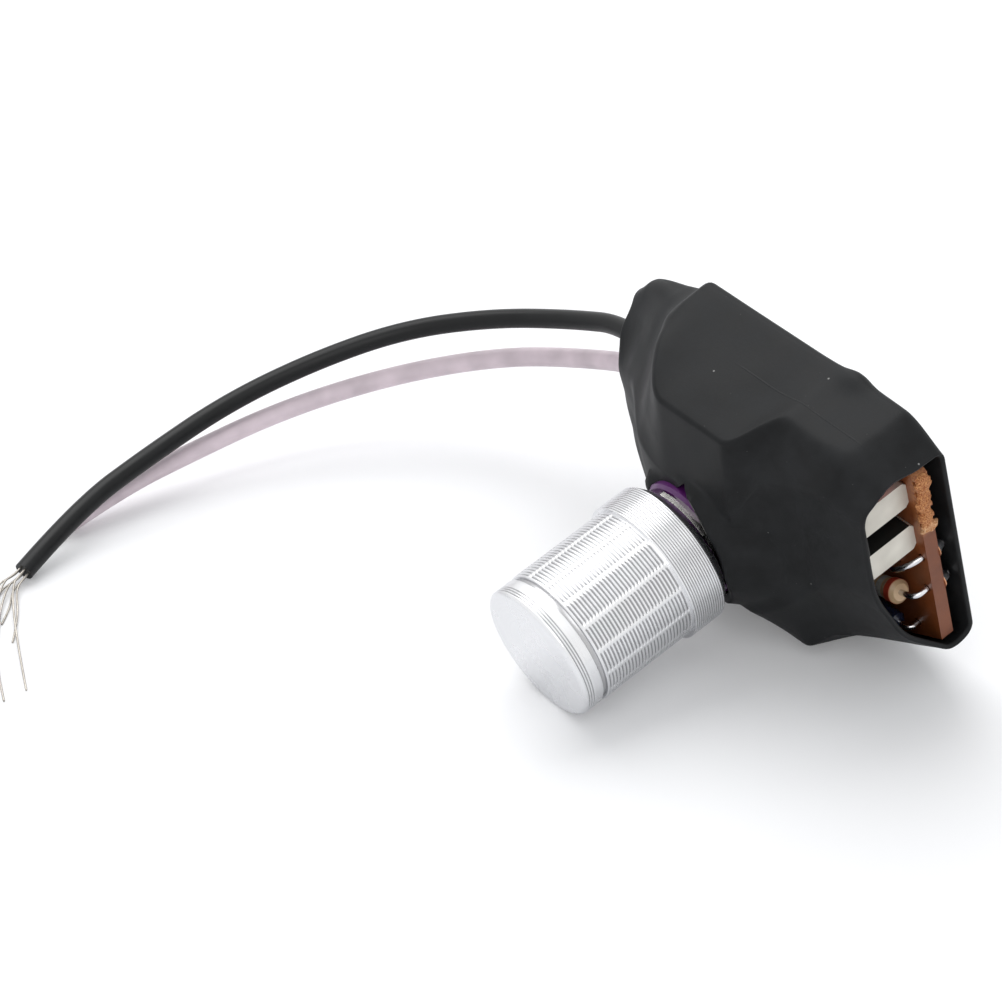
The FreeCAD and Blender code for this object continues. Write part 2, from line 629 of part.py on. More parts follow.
def make_heat_sink():
    """An extruded block of two legs and a web, with a screw slot open to the board."""
    body = new_body("heat_sink")
    sketch = new_sketch(body, "heat_sink_section", "YZ_Plane", "sizes.sink_left")
    low = "sizes.sink_lower"
    high = "sizes.sink_lower + sizes.sink_width"
    slot_low = "sizes.sink_lower + sizes.sink_width / 2 - sizes.sink_slot / 2"
    slot_high = "sizes.sink_lower + sizes.sink_width / 2 + sizes.sink_slot / 2"
    chamfer = "sizes.sink_chamfer"
    top = "sizes.sink_height"
    slot_top = "sizes.sink_height - sizes.sink_web"
    corners = [
        (low, chamfer),
        (low + " + " + chamfer, "0"),
        (slot_low + " - " + chamfer, "0"),
        (slot_low, chamfer),
        (slot_low, slot_top),
        (slot_high, slot_top),
        (slot_high, chamfer),
        (slot_high + " + " + chamfer, "0"),
        (high + " - " + chamfer, "0"),
        (high, chamfer),
        (high, top),
        (low, top),
    ]
    add_polygon(sketch, corners)
    add_pad(body, "heat_sink_extrusion", sketch, "sizes.sink_right - sizes.sink_left")
    keep("heat_sink", body)


def make_heat_sink_screw():
    """A pan-head screw from under the board into the slot, with a cross recess."""
    body = new_body("heat_sink_screw")
    under = "-sizes.board_thickness"
    rim = "-sizes.board_thickness - 0.6 * sizes.sink_screw_head_height"
    base = "-sizes.board_thickness - sizes.sink_screw_head_height"
    tip = "sizes.sink_screw_depth"
    profile = [
        ("0", base),
        ("0.6 * sizes.sink_screw_head_radius", base),
        ("sizes.sink_screw_head_radius", rim),
        ("sizes.sink_screw_head_radius", under),
        ("sizes.sink_screw_radius", under),
        ("sizes.sink_screw_radius", tip + " - sizes.sink_screw_radius"),
        ("0.4 * sizes.sink_screw_radius", tip),
        ("0", tip),
    ]
    add_revolution(body, "heat_sink_screw_turning", profile)
    sketch = new_sketch(body, "cross_recess_outline", "XY_Plane", base)
    arm = "0.55 * sizes.sink_screw_head_radius"
    half = "0.12 * sizes.sink_screw_head_radius"
    cross = [
        (arm, "-" + half), (arm, half), (half, half), (half, arm), ("-" + half, arm), ("-" + half, half),
        ("-" + arm, half), ("-" + arm, "-" + half), ("-" + half, "-" + half), ("-" + half, "-" + arm),
        (half, "-" + arm), (half, "-" + half),
    ]
    add_polygon(sketch, cross)
    add_pocket(body, "cross_recess", sketch, "0.6 * sizes.sink_screw_head_height", reverse=True)
    body.Placement = FreeCAD.Placement(
        Vector(size("sink_screw_place"), sink_middle(), 0), FreeCAD.Rotation()
    )
    keep("heat_sink_screw", body)


def make_triac():
    """A round-backed plastic body with its flat against the heat sink, on three leads."""
    radius = size("triac_radius")
    lift = size("triac_lift")
    height = size("triac_height")
    middle = Vector(size("triac_place"), triac_middle(), lift)
    round_back = Part.makeCylinder(radius, height, middle)
    beyond = Vector(middle.x - 2 * radius, middle.y + size("triac_flat"), lift)
    flat_side = Part.makeBox(4 * radius, 2 * radius, height, beyond)
    keep("triac_body", add_feature("triac_case", round_back.cut(flat_side)))
    leads = straight_leads(triac_lead_places(), size("fine_lead_radius"), lift)
    keep("triac_leads", add_feature("triac_lead_row", leads))


def make_lying_part(name, holes, axis, length, lead, profile):
    """A turned body that lies between two holes, with its bent leads. The profile is (radius, place)."""
    body = new_body(name)
    add_revolution(body, name + "_turning", profile)
    along = holes[1] - holes[0]
    middle = (holes[0] + holes[1]) * 0.5 + Vector(0, 0, axis)
    body.Placement = FreeCAD.Placement(middle, FreeCAD.Rotation(Vector(0, 0, 1), along))
    keep(name + "_body", body)
    leads = bridge_lead(holes[0], holes[1], axis, length, lead)
    keep(name + "_leads", add_feature(name + "_lead_pair", leads))


def dumbbell(waist, end, length, end_length):
    """Half section of a resistor: two rounded ends and a thinner waist."""
    half = "(%s) / 2" % length
    crown = "0.3 * (%s)" % end
    return [
        ("0", "-" + half),
        ("0.7 * (%s)" % end, "-" + half),
        (end, "-%s + %s" % (half, crown)),
        (end, "-%s + %s - %s" % (half, end_length, crown)),
        (waist, "-%s + %s" % (half, end_length)),
        (waist, "%s - %s" % (half, end_length)),
        (end, "%s - %s + %s" % (half, end_length, crown)),
        (end, "%s - %s" % (half, crown)),
        ("0.7 * (%s)" % end, half),
        ("0", half),
    ]


def make_lying_parts():
    lead = size("lead_radius")
    large = dumbbell(
        "sizes.resistor_radius", "sizes.resistor_end_radius", "sizes.resistor_length",
        "sizes.resistor_end_length"
    )
    make_lying_part(
        "resistor_1", RESISTOR_1_HOLES, size("resistor_axis"), size("resistor_length"), lead, large
    )
    share = "sizes.small_resistor_scale"
    small = dumbbell(
        share + " * sizes.resistor_radius", share + " * sizes.resistor_end_radius",
        "sizes.small_resistor_length", "0.6 * sizes.resistor_end_length"
    )
    make_lying_part(
        "resistor_2", RESISTOR_2_HOLES, size("small_resistor_axis"), size("small_resistor_length"), lead,
        small
    )
    half = "sizes.diac_length / 2"
    bead = [
        ("0", "-" + half),
        ("0.6 * sizes.diac_radius", "-" + half),
        ("sizes.diac_radius", "-%s + 0.4 * sizes.diac_radius" % half),
        ("sizes.diac_radius", "%s - 0.4 * sizes.diac_radius" % half),
        ("0.6 * sizes.diac_radius", half),
        ("0", half),
    ]
    make_lying_part("diac", DIAC_HOLES, size("diac_axis"), size("diac_length"), lead, bead)


def make_jumper_and_tails():
    """The bare arched wire, and the stripped inner ends of the two hook-up wires."""
    foot = Vector(0, 0, -size("board_thickness") - size("lead_tail"))
    start, end = JUMPER_HOLES
    run = end - start
    rise = size("jumper_rise")
    points = [
        start + foot,
        start + Vector(0, 0, 0.4 * rise),
        start + run * 0.3 + Vector(0, 0, rise),
        start + run * 0.7 + Vector(0, 0, rise),
        end + Vector(0, 0, 0.4 * rise),
        end + foot,
    ]
    arch = swept_wire(points, size("lead_radius"))
    keep("jumper_wire", add_feature("jumper", arch))
    tails = []
    for hole in (BLACK_TAIL_HOLE, WHITE_TAIL_HOLE):
        corner = hole + Vector(0, 0, TAIL_RISE)
        tip = corner + Vector(-TAIL_REACH, 0, 0)
        tails.append(swept_wire([hole + foot, corner, tip], size("lead_radius"), bend=0.8))
    keep("wire_tails", add_feature("tails", Part.makeCompound(tails)))


# Potentiometer


def ring_sector(inner, outer, low, high, middle_angle, half_angle):
    """A block of a ring between two radii, about a middle angle."""
    start = middle_angle - half_angle
    ring = Part.makeCylinder(outer, high - low, Vector(0, 0, low), Vector(0, 0, 1), 2 * half_angle)
    core = Part.makeCylinder(inner, high - low, Vector(0, 0, low))
    ring.rotate(Vector(0, 0, 0), Vector(0, 0, 1), start)
    return ring.cut(core)


def make_pot_housing():
    """A round moulded cup, open to the board, with a boss in front and a stop inside."""
    body = new_body("pot_housing")
    chamfer = "sizes.pot_shoulder_chamfer"
    ceiling = "sizes.pot_height - sizes.pot_roof"
    profile = [
        ("sizes.pot_radius - sizes.pot_wall", "0"),
        ("sizes.pot_radius", "0"),
        ("sizes.pot_radius", "sizes.pot_height - " + chamfer),
        ("sizes.pot_radius - " + chamfer, "sizes.pot_height"),
        ("sizes.boss_radius", "sizes.pot_height"),
        ("sizes.boss_radius", "sizes.boss_height - sizes.boss_chamfer"),
        ("sizes.boss_radius - sizes.boss_chamfer", "sizes.boss_height"),
        ("sizes.bush_radius", "sizes.boss_height"),
        ("sizes.bush_radius", ceiling),
        ("sizes.pot_radius - sizes.pot_wall", ceiling),
    ]
    add_revolution(body, "pot_cup", profile)
    top = size("pot_height") - size("pot_roof")
    inner = size("pot_radius") - size("pot_wall")
    stop = ring_sector(size("stop_reach"), inner + 0.1, size("rotor_foot"), top + 0.1, 270,
                       size("stop_half_angle"))
    stop_feature = add_feature("pot_stop", stop)
    fuse = document.addObject("Part::Fuse", "pot_cup_and_stop")
    fuse.Base = body
    fuse.Tool = stop_feature
    width = size("tongue_half_width") + size("wafer_play")
    depth = size("wafer_thickness") + size("wafer_play")
    window = Part.makeBox(2 * width, size("pot_radius"), depth, Vector(-width, 2, 0))
    window_feature = add_feature("tongue_window", window)
    keep("pot_housing", add_cut("pot_cup_with_window", fuse, window_feature))


def make_pot_wafer():
    """The phenolic wafer: a disc in the housing and a tongue for the three terminals."""
    radius = size("pot_radius") - size("pot_wall") - size("wafer_play")
    thickness = size("wafer_thickness")
    half = size("tongue_half_width")
    disc = Part.makeCylinder(radius, thickness)
    tongue = Part.makeBox(2 * half, size("tongue_reach"), thickness, Vector(-half, 0, 0))
    reach = size("tongue_reach")
    clip = Part.makeBox(4 * half, 4 * reach, thickness, Vector(-2 * half, reach / 2, 0))
    plate = disc.fuse(tongue.common(clip)).removeSplitter()
    pins = [terminal_box(place, 0, thickness) for place in terminal_places()]
    keep("pot_wafer", add_feature("wafer", plate.cut(pins)))


def make_pot_film():
    """The horseshoe of resistive film and the collector ring inside it."""
    low = size("wafer_thickness")
    high = low + size("film_thickness")
    half_angle = 180 - size("film_gap_angle") / 2
    film = ring_sector(size("film_inner"), size("film_outer"), low, high, 90, half_angle)
    ring = Part.makeCylinder(size("ring_outer"), high - low, Vector(0, 0, low))
    ring = ring.cut(Part.makeCylinder(size("ring_inner"), high - low, Vector(0, 0, low)))
    keep("pot_track", add_feature("film", Part.makeCompound([film, ring])))


def make_pot_terminals():
    """Three flat pins through the tongue and the board, each with a riveted head."""
    foot = -size("board_thickness") - size("lead_tail")
    thickness = size("wafer_thickness")
    head = size("terminal_head")
    pins = []
    for place in terminal_places():
        pin = terminal_box(place, foot, thickness)
        cap = terminal_box(place, thickness, thickness + head, head)
        pins.append(pin.fuse(cap).removeSplitter())
    keep("pot_terminals", add_feature("terminals", Part.makeCompound(pins)))


def make_pot_bush():
    """The threaded bush, with its flange behind the housing's front wall."""
    body = new_body("pot_bush")
    bore = "sizes.shaft_radius + sizes.shaft_play"
    ceiling = "sizes.pot_height - sizes.pot_roof"
    profile = [
        (bore, ceiling + " - sizes.bush_flange"),
        ("sizes.bush_flange_radius", ceiling + " - sizes.bush_flange"),
        ("sizes.bush_flange_radius", ceiling),
        ("sizes.bush_radius", ceiling),
        ("sizes.bush_radius", "sizes.bush_top"),
        (bore, "sizes.bush_top"),
    ]
    add_revolution(body, "bush_turning", profile)
    keep("pot_bush", body)


def make_pot_nut():
    """A hexagon nut on the boss, with turned corners."""
    flats = size("nut_flats")
    corner = flats / math.sqrt(3)
    height = size("nut_height")
    low = size("boss_height")
    turn = math.radians(size("nut_turn"))
    ring = []
    for i in range(6):
        angle = turn + i * math.pi / 3
        ring.append(Vector(corner * math.cos(angle), corner * math.sin(angle), low))
    prism = Part.Face(Part.makePolygon(ring + [ring[0]])).extrude(Vector(0, 0, height))
    chamfer = size("nut_chamfer")
    middle = Part.makeCylinder(corner, height - 2 * chamfer, Vector(0, 0, low + chamfer))
    edge = corner - 2 * chamfer
    lower = Part.makeCone(edge, corner, chamfer, Vector(0, 0, low))
    upper = Part.makeCone(corner, edge, chamfer, Vector(0, 0, low + height - chamfer))
    turned = middle.fuse([lower, upper])
    bore = Part.makeCylinder(size("bush_radius"), height, Vector(0, 0, low))
    keep("pot_nut", add_feature("nut", prism.common(turned).cut(bore)))


def make_pot_shaft():
    """The shaft: a foot in the rotor, a groove for the retaining ring and a split end."""
    body = new_body("pot_shaft")
    ring_low = "sizes.bush_top + sizes.ring_lift"
    ring_high = "sizes.bush_top + sizes.ring_lift + sizes.ring_thickness"
    chamfer = "0.12 * sizes.shaft_radius"
    profile = [
        ("0", "sizes.shaft_foot"),
        ("sizes.shaft_radius", "sizes.shaft_foot"),
        ("sizes.shaft_radius", ring_low),
        ("sizes.ring_groove_radius", ring_low),
        ("sizes.ring_groove_radius", ring_high),
        ("sizes.shaft_radius", ring_high),
        ("sizes.shaft_radius", "sizes.shaft_top - " + chamfer),
        ("sizes.shaft_radius - " + chamfer, "sizes.shaft_top"),
        ("0", "sizes.shaft_top"),
    ]
    add_revolution(body, "shaft_turning", profile)
    sketch = new_sketch(body, "shaft_slot_outline", "XY_Plane", "sizes.shaft_top")
    wide = "2 * sizes.shaft_radius"
    half = "sizes.shaft_slot / 2"
    add_polygon(sketch, [("-" + wide, "-" + half), (wide, "-" + half), (wide, half), ("-" + wide, half)])
    add_pocket(body, "shaft_slot_cut", sketch, "sizes.shaft_slot_depth")
    keep("pot_shaft", body)


def make_retaining_ring():
    """An open ring in the shaft's groove, in front of the bush."""
    low = size("bush_top") + size("ring_lift")
    thickness = size("ring_thickness")
    inner = size("ring_groove_radius")
    ring = Part.makeCylinder(size("ring_radius"), thickness, Vector(0, 0, low))
    ring = ring.cut(Part.makeCylinder(inner, thickness, Vector(0, 0, low)))
    opening = size("ring_opening")
    gap = Part.makeBox(opening, 2 * size("ring_radius"), thickness, Vector(-opening / 2, 0, low))
    keep("pot_retaining_ring", add_feature("retaining_ring", ring.cut(gap)))


def make_rotor_and_wiper():
    """The rotor disc with its stop lug, and the wiper plate with two fingers under it."""
    foot = size("rotor_foot")
    height = size("rotor_height")
    shaft = size("shaft_radius")
    disc = Part.makeCylinder(size("rotor_radius"), height, Vector(0, 0, foot))
    lug = ring_sector(shaft, size("lug_reach"), foot, foot + height, 90, size("lug_half_angle"))
    bore = Part.makeCylinder(shaft, height, Vector(0, 0, foot))
    keep("pot_rotor", add_feature("rotor", disc.fuse(lug).removeSplitter().cut(bore)))
    thickness = size("wiper_thickness")
    plate = Part.makeCylinder(size("wiper_radius"), thickness, Vector(0, 0, foot - thickness))
    plate = plate.cut(Part.makeCylinder(shaft, thickness, Vector(0, 0, foot - thickness)))
    tip = size("wafer_thickness") + size("film_thickness") + size("finger_gap")
    width = size("finger_width")
    fingers = []
    for inner, outer in ((size("film_inner"), size("film_outer")), (size("ring_inner"), size("ring_outer"))):
        middle = (inner + outer) / 2
        corner = Vector(-width / 2, middle - thickness / 2, tip)
        fingers.append(Part.makeBox(width, thickness, foot - tip - thickness / 2, corner))
    keep("pot_wiper", add_feature("wiper", plate.fuse(fingers).removeSplitter()))


# Knob


def make_knob():
    """The turned aluminium knob: bevelled face, band, groove, grip, base ring and hollow back."""
    body = new_body("knob")
    front = "sizes.knob_back + sizes.knob_length"
    band_end = front + " - sizes.knob_band_length"
    groove_end = band_end + " - sizes.knob_groove_length"
    base_top = "sizes.knob_back + sizes.knob_base_length"
    chamfer = "sizes.knob_base_chamfer"
    recess_end = "sizes.knob_back + sizes.knob_recess_depth"
    counterbore_end = "sizes.knob_back + sizes.knob_counterbore_depth"
    bore_end = "sizes.knob_back + sizes.knob_bore_depth"
    profile = [
        ("0", front),
        ("sizes.knob_face_radius", front),
        ("sizes.knob_band_radius", front + " - sizes.knob_bevel"),
        ("sizes.knob_band_radius", band_end),
        ("sizes.knob_groove_radius", band_end),
        ("sizes.knob_groove_radius", groove_end),
        ("sizes.knob_grip_radius", groove_end),
        ("sizes.knob_grip_radius", base_top),
        ("sizes.knob_base_radius", base_top),
        ("sizes.knob_base_radius", "sizes.knob_back + " + chamfer),
        ("sizes.knob_base_radius - " + chamfer, "sizes.knob_back"),
        ("sizes.knob_recess_radius", "sizes.knob_back"),
        ("sizes.knob_recess_radius", recess_end),
        ("sizes.knob_counterbore_radius", recess_end),
        ("sizes.knob_counterbore_radius", counterbore_end),
        ("sizes.shaft_radius", counterbore_end),
        ("sizes.shaft_radius", bore_end),
        ("0", bore_end),
    ]
    add_revolution(body, "knob_turning", profile)
    keep("knob", body)


# Sleeve


def offset_corners(corners, distance):
    """Move every side of a convex polygon inwards by a distance. The corners run anticlockwise."""
    count = len(corners)
    sides = []
    for i in range(count):
        start = corners[i]
        along = (corners[(i + 1) % count] - start).normalize()
        inward = Vector(-along.y, along.x, 0)
        sides.append((start + inward * distance, along))
    moved = []
    for i in range(count):
        before, before_along = sides[i - 1]
        after, after_along = sides[i]
        gap = after - before
        cross = before_along.x * after_along.y - before_along.y * after_along.x
        reach = (gap.x * after_along.y - gap.y * after_along.x) / cross
        moved.append(before + before_along * reach)
    return moved


def corner_discs(corners, radii):
    """Centre and radius of the round at each corner of a convex polygon."""
    count = len(corners)
    discs = []
    for i in range(count):
        to_before = (corners[i - 1] - corners[i]).normalize()
        to_after = (corners[(i + 1) % count] - corners[i]).normalize()
        half = to_before.getAngle(to_after) / 2
        centre = corners[i] + (to_before + to_after).normalize() * (radii[i] / math.sin(half))
        discs.append((centre, radii[i], to_before, to_after, half))
    return discs


def section_wire(place, corners, radii):
    """A rounded polygon in the plane across the sleeve at x = place. A corner holds (y, z)."""
    arcs = []
    for corner, disc in zip(corners, corner_discs(corners, radii)):
        centre, radius, to_before, to_after, half = disc
        setback = radius / math.tan(half)
        entry = corner + to_before * setback
        leave = corner + to_after * setback
        middle = centre + (corner - centre).normalize() * radius
        arcs.append((entry, middle, leave))
    edges = []
    count = len(arcs)
    for i in range(count):
        entry, middle, leave = [Vector(place, p.x, p.y) for p in arcs[i]]
        edges.append(Part.Arc(entry, middle, leave).toShape())
        following = arcs[(i + 1) % count][0]
        edges.append(Part.LineSegment(leave, Vector(place, following.x, following.y)).toShape())
    return Part.Wire(edges)


def sleeve_sections():
    """Cross-sections of the sleeve's outside: place along x, seven corners as (y, z), and their rounds.

    The corners run round the section from the lower back edge: lower back, upper back, upper side,
    upper front, lower front, lower side and lower edge. Each is drawn over what it wraps.
    """
    skin = size("sleeve_wall") + size("sleeve_gap")
    back = -(size("board_thickness") + size("lead_tail") + skin)
    low = -(size("board_lower") + skin)
    edge = low - 0.45
    upper = size("board_upper") + skin + 0.6
    lip = size("lip_height")
    reach = size("lip_reach")
    ridge_y = size("box_capacitor_place_y") + size("box_capacitor_depth") / 2 + skin
    ridge_z = size("box_capacitor_height") + skin
    ridge_half = size("box_capacitor_length") / 2 + skin
    ridge_left = size("box_capacitor_place_x") - ridge_half
    ridge_right = size("box_capacitor_place_x") + ridge_half
    keel_y = size("filter_capacitor_place_y") - size("filter_capacitor_depth") / 2 - skin
    keel_z = size("filter_capacitor_height") + skin
    keel_right = size("filter_capacitor_place_x") + size("filter_capacitor_length") / 2 + skin
    sink_top = size("sink_height") + skin
    sink_side = size("sink_lower") + size("sink_width") + skin
    shoulder = size("pot_height") + skin
    pot_left = -size("pot_radius") - 0.4
    board_end = -(size("board_left") + skin)
    mouth_upper = upper - size("upper_clip_depth") + 0.1
    mouth_low = low + size("lower_clip_depth")
    body_rounds = [1.3, 0.9, 0.6, 1.5, 1.5, 0.7, 0.6]
    soft_rounds = [1.3, 1.0, 1.6, 2.0, 2.4, 1.0, 0.6]
    mouth_rounds = [1.3, 1.0, 1.6, 1.6, 2.0, 2.0, 1.0]
    return [
        (-size("neck_reach"),
         [(-5.0, -2.6), (10.2, -2.6), (11.0, -1.2), (7.9, 1.8), (-2.4, 2.3), (-5.6, 1.2), (-6.2, -0.8)],
         [0.8, 0.8, 1.2, 1.4, 1.4, 0.7, 0.7]),
        (-size("neck_waist"),
         [(-8.2, -3.0), (12.4, -3.0), (13.0, -1.4), (5.0, 4.0), (-3.4, 4.2), (-7.6, 2.3), (-9.2, -0.6)],
         soft_rounds),
        (-size("neck_root"),
         [(low + 1.2, back), (upper - 2.95, back), (upper - 2.55, -0.4), (8.6, 5.3), (-5.0, 6.6),
          (-9.8, 4.0), (edge + 1.2, 0.0)],
         soft_rounds),
        (board_end,
         [(low, back), (upper - 1.9, back), (upper - 1.85, 0.6), (7.4, 7.4), (-5.4, 7.7), (-10.3, 4.8),
          (edge + 0.2, 0.3)],
         soft_rounds),
        (pot_left,
         [(low, back), (upper, back), (upper - 0.5, 3.6), (7.0, shoulder - 0.2), (-5.9, shoulder),
          (-10.4, 5.6), (edge, 0.3)],
         soft_rounds),
        (ridge_left,
         [(low, back), (upper, back), (ridge_y, ridge_z), (reach, lip), (-6.2, lip - 0.2),
          (keel_y, keel_z), (edge, 0.3)],
         body_rounds),
        (ridge_right,
         [(low, back), (upper, back), (ridge_y, ridge_z), (reach, lip), (-6.2, lip - 0.2),
          (keel_y, keel_z), (edge, 0.3)],
         body_rounds),
        (keel_right,
         [(low, back), (upper, back), (upper - 0.4, 4.5), (11.4, 7.9), (-4.0, 8.8), (keel_y, keel_z),
          (edge, 0.3)],
         [1.3, 0.9, 1.2, 1.8, 2.4, 0.7, 0.6]),
        (13.2,
         [(low + 1.0, back), (upper, back), (upper - 0.7, 4.7), (sink_side + 0.1, sink_top + 0.6),
          (-0.5, sink_top + 0.8), (-9.0, 4.5), (edge + 1.5, 0.2)],
         soft_rounds),
        (16.9,
         [(low + 2.6, back), (upper - 0.2, back), (upper - 0.8, 4.5), (sink_side + 0.5, sink_top + 0.2),
          (1.6, sink_top + 0.25), (-7.2, 4.1), (edge + 3.1, 0.0)],
         soft_rounds),
        (size("mouth_reach"),
         [(mouth_low - 0.1, back), (mouth_upper, back), (mouth_upper + 0.3, 2.3),
          (sink_side - 0.2, sink_top - 0.3), (1.5, 6.2), (-4.6, 4.0), (mouth_low - 0.6, -0.3)],
         mouth_rounds),
    ]


def collar_cone(radius, carried):
    """A cone whose rim leans over the shaft hole, with a short cylinder carried on above the rim."""
    tilt = math.radians(size("collar_tilt"))
    turn = math.radians(size("collar_turn"))
    depth = size("collar_depth")
    axis = Vector(-math.sin(tilt) * math.cos(turn), -math.sin(tilt) * math.sin(turn), math.cos(tilt))
    middle = Vector(0, 0, size("collar_height"))
    foot = radius + depth / math.tan(math.radians(size("collar_slope")))
    cone = Part.makeCone(foot, radius, depth, middle - axis * depth, axis)
    if carried == 0:
        return cone
    return cone.fuse(Part.makeCylinder(radius, carried, middle, axis))


def make_sleeve():
    """The shrunk tube: a loft and its collar, less the same loft and collar one wall further in."""
    wall = size("sleeve_wall")
    margin = 1.0
    outer_wires = []
    inner_wires = []
    sections = sleeve_sections()
    for place, pairs, radii in sections:
        corners = [Vector(y, z, 0) for y, z in pairs]
        outer_wires.append(section_wire(place, corners, radii))
        inner_corners = offset_corners(corners, wall)
        inner_radii = [max(radius - wall, 0.12) for radius in radii]
        if place == sections[0][0]:
            inner_wires.append(section_wire(place - margin, inner_corners, inner_radii))
        inner_wires.append(section_wire(place, inner_corners, inner_radii))
        if place == sections[-1][0]:
            inner_wires.append(section_wire(place + margin, inner_corners, inner_radii))
    rim = size("collar_radius")
    outer = Part.makeLoft(outer_wires, True, True).fuse(collar_cone(rim, 0))
    inner = Part.makeLoft(inner_wires, True, True).fuse(collar_cone(rim - size("collar_wall"), 0.2))
    shell = outer.cut(inner)
    shell_feature = add_feature("sleeve_shell", shell)
    middle = size("lip_height") / 2
    height = size("lip_height")
    hole = size("shaft_hole_radius")
    punch = Part.makeCylinder(hole, height, Vector(0, 0, middle))
    within = hole - 0.1
    tip = Vector(0.3, size("tear_tip"), middle)
    left = Vector(-size("tear_left"), math.sqrt(within ** 2 - size("tear_left") ** 2), middle)
    right = Vector(size("tear_right"), math.sqrt(within ** 2 - size("tear_right") ** 2), middle)
    tear = Part.Face(Part.makePolygon([tip, left, right, tip])).extrude(Vector(0, 0, height))
    punch_feature = add_feature("shaft_hole_punch", punch.fuse(tear).removeSplitter())
    keep("sleeve", add_cut("punched_sleeve", shell_feature, punch_feature))


# Wires


def make_wire(name, course):
    keep_laid(name, add_feature(name + "_sweep", swept_wire(course, size("wire_radius"), name)))


def make_strands(name, course, strands):
    """Loose strands from a wire's end face to the table, each from its own place in the face."""
    end = course[-1]
    along = (end - course[-2]).normalize()
    across = along.cross(Vector(0, 0, 1)).normalize() * -1
    up = across.cross(along).normalize()
    if up.z < 0:
        up = up * -1
    lines = []
    for (side, rise), bends, tip in strands:
        start = end + across * side + up * rise
        points = [start, start + along * 0.8] + [Vector(*place) for place in bends + [tip]]
        lines.append(swept_wire(points, size("strand_radius")))
    keep_laid(name, add_feature(name + "_fan", Part.makeCompound(lines)))


# Laying the module down


def resting_tilt():
    """Angle at which the sleeve's lower edge and the knob's front rim stand on one plane.

    Down is the direction (-cos, sin) of the angle in the module's (y, z) plane. The angle is the one
    at which both reach equally far down, found by halving.
    """
    discs = []
    for _, pairs, radii in sleeve_sections():
        corners = [Vector(y, z, 0) for y, z in pairs]
        discs += [(disc[0], disc[1]) for disc in corner_discs(corners, radii)]
    front = size("knob_back") + size("knob_length")
    rims = [
        Vector(-size("knob_face_radius"), front, 0),
        Vector(-size("knob_band_radius"), front - size("knob_bevel"), 0),
        Vector(-size("knob_base_radius"), size("knob_back") + size("knob_base_chamfer"), 0),
    ]

    def depth_gap(angle):
        down = Vector(-math.cos(angle), math.sin(angle), 0)
        sleeve_depth = max(centre.dot(down) + radius for centre, radius in discs)
        knob_depth = max(rim.dot(down) for rim in rims)
        return knob_depth - sleeve_depth, knob_depth

    low, high = 0.0, math.radians(45)
    for _ in range(60):
        middle = (low + high) / 2
        if depth_gap(middle)[0] < 0:
            low = middle
        else:
            high = middle
    return math.degrees(low), depth_gap(low)[1]


make_circuit_board()
make_copper_and_solder()
make_heat_sink()
make_heat_sink_screw()
make_triac()
make_box_capacitor("box_capacitor")
make_box_capacitor("filter_capacitor")
make_dipped_capacitor()
make_lying_parts()
make_jumper_and_tails()
make_pot_housing()
make_pot_wafer()
make_pot_film()
make_pot_terminals()
make_pot_bush()
make_pot_nut()
make_pot_shaft()
make_retaining_ring()
make_rotor_and_wiper()
make_knob()
make_sleeve()
document.recompute()

black_course = [Vector(*place) for place in BLACK_WIRE_COURSE]
white_course = [Vector(*place) for place in WHITE_WIRE_COURSE]
make_wire("black_wire", black_course)
make_wire("white_wire", white_course)
make_strands("black_wire_strands", black_course, BLACK_STRANDS)
make_strands("white_wire_strands", white_course, WHITE_STRANDS)

tilt, ground = resting_tilt()
turn = FreeCAD.Rotation(Vector(1, 0, 0), 90 + tilt)
centred = FreeCAD.Placement(Vector(0, 0, 0), turn)
box = FreeCAD.BoundBox()
for item in parts.values():
    shape = item.Shape.copy()
    shape.Placement = centred.multiply(item.Placement)
    box.add(shape.optimalBoundingBox(False, False))
laid = FreeCAD.Placement(Vector(-box.Center.x, -box.Center.y, ground), turn)
for item in parts.values():
    item.Placement = laid.multiply(item.Placement)
document.recompute()
print("tilt %.7f, knob axis at x %.7f, y %.7f, z %.7f" % ((tilt,) + tuple(laid.Base)))

parts.update(laid_parts)
for item in document.Objects:
    if "Invalid" in item.State or "Error" in item.State:
        raise RuntimeError("%s failed: %s" % (item.Name, item.State))
for name, item in parts.items():
    if item.Shape.isNull() or not item.Shape.isValid():
        raise RuntimeError("%s has no valid shape" % name)

os.makedirs("parts", exist_ok=True)
for name, item in parts.items():
    item.Shape.exportStep("parts/%s.step" % name)
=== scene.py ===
"""Looks of a rotary cord dimmer: shrink sleeve, turned knob, wires and the parts in the mouth."""

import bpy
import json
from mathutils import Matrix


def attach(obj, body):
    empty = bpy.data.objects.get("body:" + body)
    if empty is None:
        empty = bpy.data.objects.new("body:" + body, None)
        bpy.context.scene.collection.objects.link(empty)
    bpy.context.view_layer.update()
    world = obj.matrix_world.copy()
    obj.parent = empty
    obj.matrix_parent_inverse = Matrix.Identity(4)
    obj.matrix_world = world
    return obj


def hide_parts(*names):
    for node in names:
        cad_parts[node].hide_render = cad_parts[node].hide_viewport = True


bl_info = {
    "name": "Rotary Cord Dimmer",
    "version": (1, 0, 0),
    "blender": (4, 5, 0),
    "location": "View3D > Sidebar > Dimmer",
    "description": "Builds the surfaces and finishes of a small dimmer module in a shrink sleeve",
    "category": "Add Mesh",
}

import json
import math

import bmesh
import bpy
import numpy as np
from bpy.props import FloatProperty, FloatVectorProperty, IntProperty, PointerProperty
from mathutils import Vector

